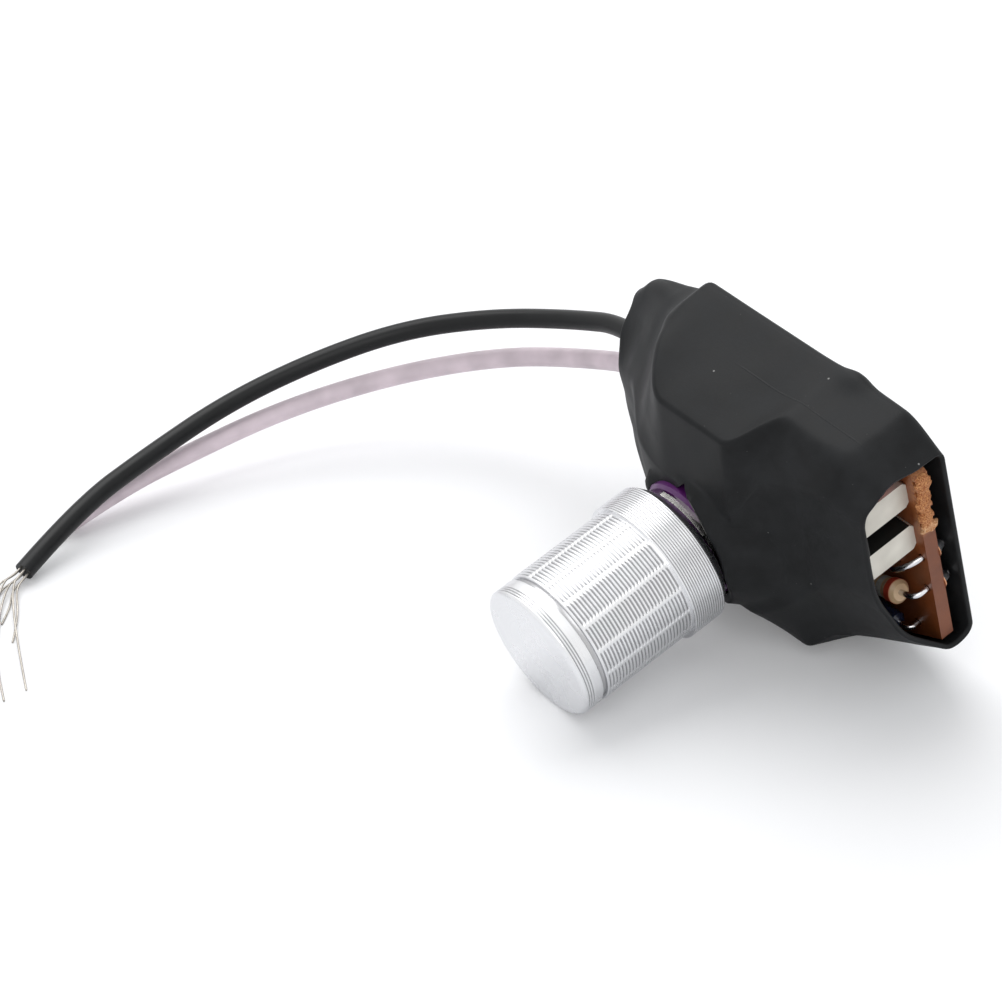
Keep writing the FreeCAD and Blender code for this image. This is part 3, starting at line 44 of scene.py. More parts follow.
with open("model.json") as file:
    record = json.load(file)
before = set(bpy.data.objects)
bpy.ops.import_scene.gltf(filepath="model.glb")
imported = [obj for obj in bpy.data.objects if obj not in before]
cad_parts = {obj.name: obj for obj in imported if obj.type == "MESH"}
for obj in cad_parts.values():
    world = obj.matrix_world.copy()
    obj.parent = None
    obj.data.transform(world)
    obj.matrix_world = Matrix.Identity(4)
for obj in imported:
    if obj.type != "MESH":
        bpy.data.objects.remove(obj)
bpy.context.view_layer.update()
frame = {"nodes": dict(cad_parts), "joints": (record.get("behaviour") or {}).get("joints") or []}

MM = 0.001

# The module's own frame: origin on the knob's axis at the board's face, x along the sleeve, y across
# the board, z from the board towards the knob.
TURN = frame["joints"][0]
ORIGIN = np.array(TURN["pos_m"], float)
AXIS_Z = np.array(TURN["axis"], float)
AXIS_Z /= np.linalg.norm(AXIS_Z)
AXIS_X = np.array([1.0, 0.0, 0.0])
AXIS_Y = np.cross(AXIS_Z, AXIS_X)
AXES = np.stack([AXIS_X, AXIS_Y, AXIS_Z])


def to_row(points):
    """Points of the module's frame in millimetres, as points of the row frame in metres."""
    return ORIGIN + np.asarray(points, float) @ AXES * MM


# Sizes and colours that a user would change


def millimetres(name, about, default, low, high):
    return FloatProperty(name=name, description=about + " in millimetres", default=default, min=low, max=high)


def metres(name, about, default):
    return FloatProperty(name=name, description=about, subtype="DISTANCE", unit="LENGTH", default=default)


def colour_of(name, about, default):
    return FloatVectorProperty(name=name, description="Colour of " + about, subtype="COLOR", default=default)


class SleeveSettings(bpy.types.PropertyGroup):
    wall: millimetres("Wall", "Shrunk wall", 0.5, 0.2, 1.0)
    hole_radius: millimetres("Shaft Hole", "Radius of the shaft hole", 6.1, 5.0, 7.0)
    softness: millimetres("Dents", "Depth of the soft dents", 0.14, 0.0, 0.5)
    colour: colour_of("Colour", "the sleeve", (0.0090, 0.0095, 0.0102))
    dust: FloatProperty(
        name="Dust", description="Share of dust specks on the sleeve", subtype="FACTOR", default=0.5, min=0, max=1
    )


class KnobSettings(bpy.types.PropertyGroup):
    lands: IntProperty(name="Lands", description="Plain ribs along the grip", default=16, min=4, max=40)
    groove_pitch: millimetres("Grip Pitch", "Between the grip's rings", 0.38, 0.2, 1.0)
    groove_depth: millimetres("Grip Depth", "Depth of the grip's rings", 0.12, 0.0, 0.3)
    colour: colour_of("Colour", "the turned aluminium", (0.88, 0.885, 0.90))
    # cut is painted shade: a darker colour for the bottoms of the rings, standing in for the shade in them
    cut: colour_of("Cuts", "the bottom of the rings", (0.40, 0.40, 0.41))


class WireSettings(bpy.types.PropertyGroup):
    diameter: metres("Diameter", "Over the insulation", 0.0019)
    strand: metres("Strand", "One copper strand", 0.0002)
    dark: colour_of("Dark Wire", "the dark wire", (0.007, 0.0075, 0.008))
    pale: colour_of("Pale Wire", "the pale wire", (0.74, 0.63, 0.68))


class BoardSettings(bpy.types.PropertyGroup):
    board: colour_of("Board", "the phenolic board", (0.165, 0.042, 0.011))
    violet: colour_of("Housing", "the potentiometer's housing", (0.10, 0.012, 0.13))
    film_red: colour_of("Dipped Body", "the dipped capacitor", (0.60, 0.10, 0.11))


class StageSettings(bpy.types.PropertyGroup):
    lamp: FloatProperty(name="Lamp", description="Power of the main lamp in watts", default=0.9, min=0.0, max=10)
    floor: colour_of("Floor", "the floor", (0.86, 0.86, 0.87))


SETTINGS = {
    "dimmer_sleeve": SleeveSettings,
    "dimmer_knob": KnobSettings,
    "dimmer_wires": WireSettings,
    "dimmer_board": BoardSettings,
    "dimmer_stage": StageSettings,
}


# Meshes from arrays


def mesh_from_grid(name, points, closed_along=False):
    """A surface through a grid of points: rows run along it, columns run around it.

    Each face joins a point with the next one along, the next one around and the one diagonal to it.
    The last column joins the first, and where the grid is closed along, so does the last row.
    """
    rows, columns = points.shape[:2]
    index = np.arange(rows * columns).reshape(rows, columns)
    if closed_along:
        index = np.vstack([index, index[:1]])
    index = np.hstack([index, index[:, :1]])
    quads = np.stack([index[:-1, :-1], index[1:, :-1], index[1:, 1:], index[:-1, 1:]], axis=-1)
    mesh = bpy.data.meshes.new(name)
    mesh.from_pydata(points.reshape(-1, 3), [], quads.reshape(-1, 4))
    mesh.shade_smooth()
    return mesh


def add_object(name, data):
    """An object in the scene, at the origin."""
    item = bpy.data.objects.new(name, data)
    bpy.context.scene.collection.objects.link(item)
    return item


def new_piece(name, data, material, body):
    """An object at the origin with one material, riding on a body of the frame."""
    piece = add_object(name, data)
    piece.data.materials.append(material)
    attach(piece, body)
    return piece


def apply_modifiers(piece):
    """Replace the piece's mesh with what its modifiers make of it."""
    graph = bpy.context.evaluated_depsgraph_get()
    mesh = bpy.data.meshes.new_from_object(piece.evaluated_get(graph))
    piece.modifiers.clear()
    piece.data = mesh


# Points closer than this are one, in metres
SAME_POINT = 1e-7


def outward(mesh, merge=0.0):
    """Merge doubles closer than a distance and turn every face outwards.

    The faces are made to agree first. Where the volume that they close then comes out negative, they
    all point inwards and are turned round.
    """
    work = bmesh.new()
    work.from_mesh(mesh)
    if merge > 0:
        bmesh.ops.remove_doubles(work, verts=work.verts, dist=merge)
    bmesh.ops.recalc_face_normals(work, faces=work.faces)
    if work.calc_volume(signed=True) < 0:
        bmesh.ops.reverse_faces(work, faces=work.faces)
    work.to_mesh(mesh)
    work.free()


def spline_through(places, values, at):
    """Cubic interpolation of arrays over uneven places, with tangents held back where values turn.

    The tangent at a place is the harmonic mean of the slopes beside it where both have one sign, and
    zero where they don't, so the curve never swings past a value.
    """
    places = np.asarray(places, float)
    values = np.asarray(values, float)
    step = np.diff(places)
    shape = (-1,) + (1,) * (values.ndim - 1)
    slope = np.diff(values, axis=0) / step.reshape(shape)
    tangent = np.empty_like(values)
    before, after = slope[:-1], slope[1:]
    agree = before * after > 0
    tangent[1:-1] = np.where(agree, 2 * before * after / np.where(agree, before + after, 1.0), 0.0)
    tangent[0] = slope[0]
    tangent[-1] = slope[-1]
    cell = np.clip(np.searchsorted(places, at, side="right") - 1, 0, len(places) - 2)
    width = step[cell].reshape(shape)
    t = ((at - places[cell]) / step[cell]).reshape(shape)
    return (
        values[cell] * (2 * t ** 3 - 3 * t ** 2 + 1) + tangent[cell] * width * (t ** 3 - 2 * t ** 2 + t)
        + values[cell + 1] * (3 * t ** 2 - 2 * t ** 3) + tangent[cell + 1] * width * (t ** 3 - t ** 2)
    )


# Cells of the noise's lattice before it repeats, and a shift that keeps every place positive
LATTICE = 32
LATTICE_SHIFT = 1000.0


def value_noise(points, scale, seed):
    """Smooth random values at 3-D points: random numbers on a lattice, blended by a cubic fade."""
    rng = np.random.default_rng(seed)
    table = rng.random((LATTICE,) * 3)
    place = points / scale + LATTICE_SHIFT
    base = np.floor(place).astype(int)
    part = place - base
    fade = part * part * (3 - 2 * part)
    total = np.zeros(points.shape[:-1])
    for corner in np.ndindex(2, 2, 2):
        lattice = (base + np.array(corner)) % LATTICE
        weight = np.prod(np.where(np.array(corner) == 1, fade, 1 - fade), axis=-1)
        total += weight * table[lattice[..., 0], lattice[..., 1], lattice[..., 2]]
    return total * 2 - 1


def grid_normals(points):
    """Unit normals of a grid that is closed around, from the differences of its neighbours."""
    along = np.gradient(points, axis=0)
    around = np.roll(points, -1, axis=1) - np.roll(points, 1, axis=1)
    normal = np.cross(around, along)
    return normal / np.maximum(np.linalg.norm(normal, axis=-1, keepdims=True), 1e-12)


# Shader nodes: a value is a socket to link from or a plain number, and a colour has three numbers


def put(tree, socket, value):
    """Link a socket from another one, or set it to a plain value."""
    if isinstance(value, bpy.types.NodeSocket):
        tree.links.new(value, socket)
    else:
        socket.default_value = value


def add_node(tree, kind, **values):
    """A shader node with its inputs filled. An underscore in a key stands for a space."""
    node = tree.nodes.new("ShaderNode" + kind)
    for key, value in values.items():
        put(tree, node.inputs[key.replace("_", " ")], value)
    return node


def add_math(tree, operation, first, second=0.0):
    node = add_node(tree, "Math")
    node.operation = operation
    put(tree, node.inputs[0], first)
    put(tree, node.inputs[1], second)
    return node.outputs[0]


def add_product(tree, *values):
    result = values[0]
    for value in values[1:]:
        result = add_math(tree, "MULTIPLY", result, value)
    return result


def add_mix(tree, factor, first, second):
    mix = add_node(tree, "Mix")
    mix.data_type = "RGBA"
    for place, value in ((0, factor), (6, first), (7, second)):
        put(tree, mix.inputs[place], (*value, 1) if isinstance(value, tuple) else value)
    return mix.outputs[2]


def add_range(tree, value, low, high, to_low=0.0, to_high=1.0):
    node = add_node(tree, "MapRange", Value=value, From_Min=low, From_Max=high, To_Min=to_low, To_Max=to_high)
    return node.outputs["Result"]


def add_bump(tree, height, strength, distance, before=None):
    node = add_node(tree, "Bump", Height=height, Strength=strength, Distance=distance)
    if before is not None:
        put(tree, node.inputs["Normal"], before)
    return node.outputs["Normal"]


def object_place(tree):
    return tree.nodes["Place"].outputs["Object"]


def place_along(tree, direction, start):
    """How far the surface lies past a start along a direction, in metres."""
    node = add_node(tree, "VectorMath")
    node.operation = "DOT_PRODUCT"
    put(tree, node.inputs[0], object_place(tree))
    put(tree, node.inputs[1], tuple(direction))
    return add_math(tree, "SUBTRACT", node.outputs["Value"], float(start @ direction))


def band_mask(tree, axis, low, high, soft):
    """One between two places along an axis of the module, in millimetres, with soft margins outside."""
    place = place_along(tree, axis, ORIGIN)
    rise = add_range(tree, place, (low - soft) * MM, low * MM)
    fall = add_range(tree, place, high * MM, (high + soft) * MM, 1.0, 0.0)
    return add_product(tree, rise, fall)


def new_group(name, numbers, results):
    """A node group that takes a vector and numbers, with the sockets inside it to read and to fill."""
    tree = bpy.data.node_groups.new(name, "ShaderNodeTree")
    sockets = [("Vector", "INPUT", "Vector"), *[(key, "INPUT", "Float") for key in numbers]]
    sockets += [(key, "OUTPUT", "Float") for key in results]
    for key, way, kind in sockets:
        tree.interface.new_socket(name=key, in_out=way, socket_type="NodeSocket" + kind)
    return tree, tree.nodes.new("NodeGroupInput").outputs, tree.nodes.new("NodeGroupOutput").inputs


# How much broader the clouds are than the grain
CLOUD_BREADTH = 14.0


def grain_group():
    """Fine uneven grain: a height for a bump and a value that lifts or lowers a colour."""
    name = "Fine Grain"
    if name in bpy.data.node_groups:
        return bpy.data.node_groups[name]
    tree, taken, given = new_group(name, ["Scale", "Detail"], ["Height", "Cloud"])
    breadth = add_math(tree, "DIVIDE", taken["Scale"], CLOUD_BREADTH)
    fine = add_node(tree, "TexNoise", Vector=taken["Vector"], Scale=taken["Scale"], Detail=taken["Detail"])
    coarse = add_node(tree, "TexNoise", Vector=taken["Vector"], Scale=breadth)
    put(tree, given["Height"], fine.outputs["Fac"])
    put(tree, given["Cloud"], coarse.outputs["Fac"])
    return tree


def specks_group():
    """Scattered specks of dust: a mask that is one on a few small round spots of uneven size."""
    name = "Dust Specks"
    if name in bpy.data.node_groups:
        return bpy.data.node_groups[name]
    tree, taken, given = new_group(name, ["Scale", "Amount"], ["Mask"])
    cells = add_node(tree, "TexVoronoi", Vector=taken["Vector"], Scale=taken["Scale"], Randomness=1.0)
    near = add_range(tree, cells.outputs["Distance"], 0.075, 0.03)
    split = add_node(tree, "SeparateColor", Color=cells.outputs["Color"])
    chosen = add_math(tree, "LESS_THAN", split.outputs["Red"], add_product(tree, taken["Amount"], 0.16))
    put(tree, given["Mask"], add_product(tree, near, chosen))
    return tree


def add_group(tree, group, **values):
    node = add_node(tree, "Group")
    node.node_tree = group
    for key, value in {"Vector": object_place(tree), **values}.items():
        put(tree, node.inputs[key], value)
    return node.outputs


def add_grain(tree, scale, detail=4.0):
    return add_group(tree, grain_group(), Scale=scale, Detail=detail)


def cloudy(tree, grain, first, second, low=0.3, high=0.7):
    """A colour between two others, by the grain's clouds."""
    return add_mix(tree, add_range(tree, grain["Cloud"], low, high), first, second)


def shaded(colour, factor):
    return tuple(min(1.0, max(0.0, part * factor)) for part in colour)


def new_material(name, colour, roughness, metallic=0.0):
    """A Principled material with Object coordinates, with its tree and its shader's inputs."""
    material = bpy.data.materials.new(name)
    material.use_nodes = True
    tree = material.node_tree
    finish = tree.nodes["Principled BSDF"].inputs
    finish["Base Color"].default_value = (*colour, 1)
    finish["Roughness"].default_value = roughness
    finish["Metallic"].default_value = metallic
    add_node(tree, "TexCoord").name = "Place"
    return material, tree, finish


def grained_material(name, colour, roughness, metallic=0.0, scale=4200.0, bump=0.1, depth=0.00002,
                     cloud=0.25, coat=0.0, specular=0.5):
    """A finish with fine grain in its height, and soft clouds in its colour and roughness."""
    material, tree, finish = new_material(name, colour, roughness, metallic)
    grain = add_grain(tree, scale)
    tone = cloudy(tree, grain, shaded(colour, 1 - cloud), shaded(colour, 1 + cloud))
    put(tree, finish["Base Color"], tone)
    rough = add_range(tree, grain["Cloud"], 0.3, 0.7, roughness * 0.85, min(1.0, roughness * 1.15))
    put(tree, finish["Roughness"], rough)
    put(tree, finish["Normal"], add_bump(tree, grain["Height"], bump, depth))
    finish["Coat Weight"].default_value = coat
    finish["Specular IOR Level"].default_value = specular
    return material


def sleeve_material(settings):
    """Satin black shrink tube: fine grain, faint chalky clouds, specks of dust and one scored line."""
    base = tuple(settings.colour)
    material, tree, finish = new_material("Shrink Sleeve Black", base, 0.5)
    grain = add_grain(tree, 5200.0, 5.0)
    specks = add_group(tree, specks_group(), Scale=620.0, Amount=settings.dust)
    fine_specks = add_group(tree, specks_group(), Scale=1900.0, Amount=settings.dust * 1.6)
    scored = scored_line(tree)
    colour = cloudy(tree, grain, base, shaded(base, 1.9), 0.35, 0.75)
    colour = add_mix(tree, scored, colour, (0.018, 0.019, 0.020))
    colour = add_mix(tree, fine_specks["Mask"], colour, (0.10, 0.10, 0.10))
    colour = add_mix(tree, specks["Mask"], colour, (0.30, 0.30, 0.29))
    put(tree, finish["Base Color"], colour)
    put(tree, finish["Roughness"], add_range(tree, grain["Cloud"], 0.3, 0.75, 0.46, 0.58))
    normal = add_bump(tree, scored, 0.6, 0.00004)
    put(tree, finish["Normal"], add_bump(tree, grain["Height"], 0.32, 0.00003, normal))
    finish["Specular IOR Level"].default_value = 0.16
    return material


def scored_line(tree):
    """Mask of the thin line scored along the sleeve's upper side, between two places along the module."""
    line = band_mask(tree, AXIS_Z, 2.27, 2.33, 0.06)
    run = band_mask(tree, AXIS_X, 2.5, 15.5, 2.0)
    side = band_mask(tree, AXIS_Y, 13.0, 20.0, 1.0)
    return add_product(tree, line, run, side)


def turned_material(name, colour, roughness, painted_cut_shade=None):
    """Turned metal: rings of fine tool marks about the knob's axis and small clouds in the shine.

    Where a colour of painted shade for the cuts is given, it darkens the bottoms of the piece's fine cuts, where
    shade falls.
    """
    material, tree, finish = new_material(name, colour, roughness, 1.0)
    tilt = math.atan2(-AXIS_Z[1], AXIS_Z[2])
    mapping = add_node(
        tree, "Mapping", Vector=object_place(tree), Location=tuple(ORIGIN), Rotation=(tilt, 0.0, 0.0)
    )
    mapping.vector_type = "TEXTURE"
    split = add_node(tree, "SeparateXYZ", Vector=mapping.outputs["Vector"]).outputs
    flat = add_node(tree, "CombineXYZ", X=split["X"], Y=split["Y"])
    length = add_node(tree, "VectorMath")
    length.operation = "LENGTH"
    put(tree, length.inputs[0], flat.outputs["Vector"])
    ring = add_node(tree, "CombineXYZ", X=length.outputs["Value"], Y=split["Z"])
    marks = add_node(tree, "TexNoise", Vector=ring.outputs["Vector"], Scale=9000.0, Detail=3.0).outputs["Fac"]
    grain = add_grain(tree, 4000.0)
    normal = add_bump(tree, marks, 0.16, 0.00002)
    put(tree, finish["Normal"], add_bump(tree, grain["Height"], 0.05, 0.00001, normal))
    rough = add_range(tree, grain["Cloud"], 0.3, 0.7, roughness * 0.85, roughness * 1.2)
    put(tree, finish["Roughness"], rough)
    tone = add_mix(tree, add_range(tree, marks, 0.3, 0.7), shaded(colour, 0.93), colour)
    if painted_cut_shade is not None:
        # Painted shade: the bottoms of the fine cuts are mixed towards the darker colour, where shade falls
        depth = add_node(tree, "Attribute")
        depth.attribute_name = "cut_depth"
        tone = add_mix(tree, add_range(tree, depth.outputs["Fac"], 0.35, 0.95), tone, painted_cut_shade)
    put(tree, finish["Base Color"], tone)
    return material


def board_material(settings):
    """Brown phenolic paper board: fibres in its height, warm clouds, and a pale end where it was snapped."""
    base = tuple(settings.board)
    material, tree, finish = new_material("Phenolic Board", base, 0.45)
    grain = add_grain(tree, 4200.0, 6.0)
    torn = band_mask(tree, AXIS_X, 20.2, 25.0, 1.0)
    upper = band_mask(tree, AXIS_Y, 5.6, 20.0, 0.5)
    broken = add_product(tree, torn, upper, add_range(tree, grain["Height"], 0.35, 0.6, 0.2, 1.0))
    colour = cloudy(tree, grain, base, (base[0] * 1.5, base[1] * 1.6, base[2] * 1.5))
    put(tree, finish["Base Color"], add_mix(tree, broken, colour, (0.50, 0.19, 0.06)))
    put(tree, finish["Normal"], add_bump(tree, grain["Height"], 0.35, 0.00005))
    return material


def fibre_material():
    """Torn paper fibres: strong grain, from orange brown in the hollows to pale tan on the tufts."""
    material, tree, finish = new_material("Torn Fibres", (0.5, 0.2, 0.07), 0.75)
    grain = add_grain(tree, 7000.0, 6.0)
    tuft = add_range(tree, grain["Height"], 0.38, 0.66)
    colour = add_mix(tree, tuft, (0.30, 0.085, 0.022), (0.72, 0.34, 0.13))
    pale = add_mix(tree, tuft, (0.50, 0.20, 0.07), (0.86, 0.56, 0.32))
    tab = band_mask(tree, AXIS_Y, 5.0, 6.5, 0.4)
    put(tree, finish["Base Color"], add_mix(tree, tab, colour, pale))
    put(tree, finish["Normal"], add_bump(tree, grain["Height"], 0.6, 0.00012))
    return material


def slot_shaded_aluminium():
    """Dull aluminium, rubbed pale on its ends, with painted shade: black and not metallic in the screw slot
    between its legs.
    """
    material, tree, finish = new_material("Extruded Aluminium", (0.74, 0.71, 0.64), 0.45, 0.3)
    grain = add_grain(tree, 3600.0, 5.0)
    # Painted shade: the slot between the legs is painted black, standing in for the deep shade in it
    slot = band_mask(tree, AXIS_Y, 6.24, 8.56, 0.02)
    colour = cloudy(tree, grain, (0.62, 0.59, 0.52), (0.80, 0.77, 0.69), 0.35, 0.68)
    put(tree, finish["Base Color"], add_mix(tree, slot, colour, (0.012, 0.012, 0.011)))
    put(tree, finish["Metallic"], add_range(tree, slot, 0.0, 1.0, 0.3, 0.0))
    put(tree, finish["Normal"], add_bump(tree, grain["Height"], 0.25, 0.00003))
    return material


def banded_material(name, colour, bands, start, end):
    """Lacquer with painted bands. Each band is (place, half width, colour) along the body, in millimetres."""
    material, tree, finish = new_material(name, colour, 0.3)
    start, end = to_row(start), to_row(end)
    along = (end - start) / np.linalg.norm(end - start)
    grain = add_grain(tree, 5000.0)
    mixed = cloudy(tree, grain, colour, shaded(colour, 1.15))
    for place, half, paint in bands:
        gap = place_along(tree, along, (start + end) / 2 + along * place * MM)
        away = add_math(tree, "ABSOLUTE", gap)
        mixed = add_mix(tree, add_range(tree, away, (half + 0.05) * MM, (half - 0.05) * MM), mixed, paint)
    put(tree, finish["Base Color"], mixed)
    put(tree, finish["Normal"], add_bump(tree, grain["Height"], 0.15, 0.00003))
    finish["Coat Weight"].default_value = 0.3
    return material


# Sleeve


# Outer sections of the sleeve in the module's frame, in millimetres: place along x, then seven corners
# as (y, z) from the lower back edge round by the upper back edge, and the round at each corner.
RIDGE = ([(-14.05, -3.2), (17.15, -3.2), (14.95, 9.05), (6.4, 10.2), (-6.2, 10.0), (-10.55, 7.35), (-14.5, 0.3)],
         [1.3, 0.9, 0.6, 1.5, 1.5, 0.7, 0.6])
SHOULDER_ROUNDS = [1.3, 1.0, 1.6, 2.0, 2.4, 1.0, 0.6]
SLEEVE_SECTIONS = [
    (-18.3, [(-6.0, -2.7), (10.4, -2.7), (11.3, -1.2), (7.4, 2.0), (-2.6, 2.4), (-6.0, 1.3), (-6.8, -0.8)],
     [0.9, 0.7, 1.2, 2.4, 3.0, 1.0, 0.9]),
    (-16.6, [(-8.2, -3.0), (12.4, -3.0), (13.0, -1.4), (5.0, 4.0), (-3.4, 4.2), (-7.6, 2.3), (-9.2, -0.6)],
     [1.2, 0.7, 1.2, 3.0, 3.4, 1.4, 0.9]),
    (-12.0, [(-12.85, -3.2), (14.2, -3.2), (14.6, -0.4), (8.6, 5.3), (-5.0, 6.6), (-9.8, 4.0), (-13.3, 0.0)],
     SHOULDER_ROUNDS),
    (-9.95, [(-14.05, -3.2), (15.25, -3.2), (15.3, 0.6), (7.4, 7.4), (-5.4, 7.7), (-10.3, 4.8), (-14.3, 0.3)],
     SHOULDER_ROUNDS),
    (-8.0, [(-14.05, -3.2), (17.15, -3.2), (16.65, 3.6), (7.0, 8.95), (-5.9, 9.15), (-10.4, 5.6),
            (-14.5, 0.3)],
     SHOULDER_ROUNDS),
    (-2.05, *RIDGE),
    (5.85, *RIDGE),
    (9.75, [(-14.05, -3.2), (17.15, -3.2), (16.75, 4.5), (11.4, 7.9), (-4.0, 8.8), (-10.55, 7.35),
            (-14.5, 0.3)],
     [1.3, 0.9, 1.2, 1.8, 2.4, 0.7, 0.6]),
    (11.4, [(-13.75, -3.2), (17.15, -3.2), (16.6, 4.6), (12.0, 7.4), (-2.3, 8.0), (-9.4, 5.6),
            (-13.9, 0.25)],
     [1.3, 1.0, 1.4, 1.9, 2.4, 0.9, 0.6]),
    (13.2, [(-13.05, -3.2), (17.15, -3.2), (16.45, 4.7), (12.35, 6.95), (-0.5, 7.15), (-9.0, 4.5),
            (-13.0, 0.2)],
     SHOULDER_ROUNDS),
    (16.9, [(-11.45, -3.2), (16.95, -3.2), (16.35, 4.5), (12.75, 6.55), (1.6, 6.6), (-7.2, 4.1),
            (-11.4, 0.0)],
     [1.3, 1.0, 2.2, 2.4, 8.0, 5.0, 1.2]),
    (20.8, [(-9.15, -3.2), (14.05, -3.2), (14.35, 2.3), (12.05, 6.05), (1.5, 6.2), (-4.6, 4.0),
            (-9.65, -0.3)],
     [1.5, 1.0, 3.0, 2.6, 12.0, 11.0, 2.2]),
]

# Where along x the outlines are averaged, and over what breadth
AVERAGED_AT = [-18.3, -14.0, -9.0, -4.5, 20.8]
AVERAGED_OVER = [0.3, 1.7, 1.7, 0.3, 0.3]

# Where a lead's end pushes the back edge out, and how far its bump reaches
LEAD_END = np.array([11.2, 17.1, -2.6])
LEAD_REACH = np.array([1.5, 1.3, 1.3])

# The tear of the shaft hole: its tip and its two feet, as (x, y)
TEAR_TIP = np.array([0.6, 7.3])
TEAR_FEET = np.array([[-1.0, 5.5], [2.85, 5.2]])

# Heights of the punch that cuts the shaft hole
PUNCH_HEIGHTS = np.array([5.0, 8.0, 11.0, 14.0])

# Points on each side of a section, from the back round to the lower edge; the front has the most
SIDE_STEPS = (18, 13, 16, 32, 8, 10, 5)

# The collar pushed up round the shaft hole: rim radius, height of its middle, lean and direction
COLLAR_RADIUS = 6.9
COLLAR_HEIGHT = 10.25
COLLAR_TILT = math.radians(15)
COLLAR_TURN = math.radians(10)
COLLAR_SLOPE = math.tan(math.radians(60))


def rounded_outline(corners, rounds, arc_steps=7):
    """A closed outline with each corner replaced by an arc, at the same number of points every time.

    An arc starts where its circle touches the side before the corner and ends on the side after it. It
    is swept by equal angles, and each straight side is divided evenly into its own number of steps.
    """
    corners = np.asarray(corners, float)
    rounds = np.asarray(rounds, float)[:, None]
    to_before = np.roll(corners, 1, axis=0) - corners
    to_before /= np.linalg.norm(to_before, axis=1, keepdims=True)
    to_after = np.roll(corners, -1, axis=0) - corners
    to_after /= np.linalg.norm(to_after, axis=1, keepdims=True)
    half = np.arccos(np.clip(np.sum(to_before * to_after, axis=1, keepdims=True), -1, 1)) / 2
    bisector = to_before + to_after
    bisector /= np.linalg.norm(bisector, axis=1, keepdims=True)
    centre = corners + bisector * rounds / np.sin(half)
    entry = corners + to_before * rounds / np.tan(half)
    leave = corners + to_after * rounds / np.tan(half)
    first = entry - centre
    share = np.linspace(0, 1, arc_steps)[None, :]
    start = np.arctan2(first[:, 1], first[:, 0])[:, None]
    last = leave - centre
    sweep = np.arctan2(last[:, 1], last[:, 0])[:, None] - start
    sweep = (sweep + math.pi) % (2 * math.pi) - math.pi
    angle = start + sweep * share
    arcs = centre[:, None] + rounds[:, None] * np.stack([np.cos(angle), np.sin(angle)], axis=-1)
    outline = []
    for arc, begin, end, steps in zip(arcs, leave, np.roll(entry, -1, axis=0), SIDE_STEPS):
        t = np.linspace(0, 1, steps + 2)[1:-1, None]
        outline += [arc, begin * (1 - t) + end * t]
    return np.concatenate(outline)


def with_collar(skin, radius, height):
    """Raise a skin round the shaft hole onto a cone whose flat rim leans towards the mouth.

    Over each point, the cone is found by repeated steps: its height along the leaning axis is the slope
    times how far the point lies outside the rim, downwards. The lift is the smooth maximum of the skin
    and the cone: half of the sum of their gap and of the root of the squared gap plus a small square,
    so that the cone runs into the skin with a fillet. A rounded flap stands higher beside the tear.
    """
    axis = np.array([
        -math.sin(COLLAR_TILT) * math.cos(COLLAR_TURN), -math.sin(COLLAR_TILT) * math.sin(COLLAR_TURN),
        math.cos(COLLAR_TILT),
    ])
    cone = skin.copy()
    cone[..., 2] = height
    for _ in range(24):
        away = cone - np.array([0.0, 0.0, height])
        along = away @ axis
        out = np.linalg.norm(away - along[..., None] * axis, axis=-1)
        wanted = -COLLAR_SLOPE * np.clip(out - radius, 0, 3.0)
        cone[..., 2] += (wanted - along) / axis[2] * 0.8
    uneven = value_noise(skin * np.array([1.0, 1.0, 0.0]), 2.8, 31) * 0.14
    flap = 1.7 * np.exp(-((skin[..., 0] + 4.9) ** 2 + (skin[..., 1] - 3.2) ** 2) / 2.0 ** 2)
    gap = cone[..., 2] + uneven + flap - skin[..., 2]
    lift = (gap + np.sqrt(gap ** 2 + 0.3 ** 2)) / 2
    near = np.hypot(skin[..., 0], skin[..., 1])
    front = np.clip((skin[..., 2] - 3.0) / 1.5, 0, 1) * np.clip((11.5 - near) / 1.5, 0, 1)
    raised = skin.copy()
    raised[..., 2] += lift * front
    return raised


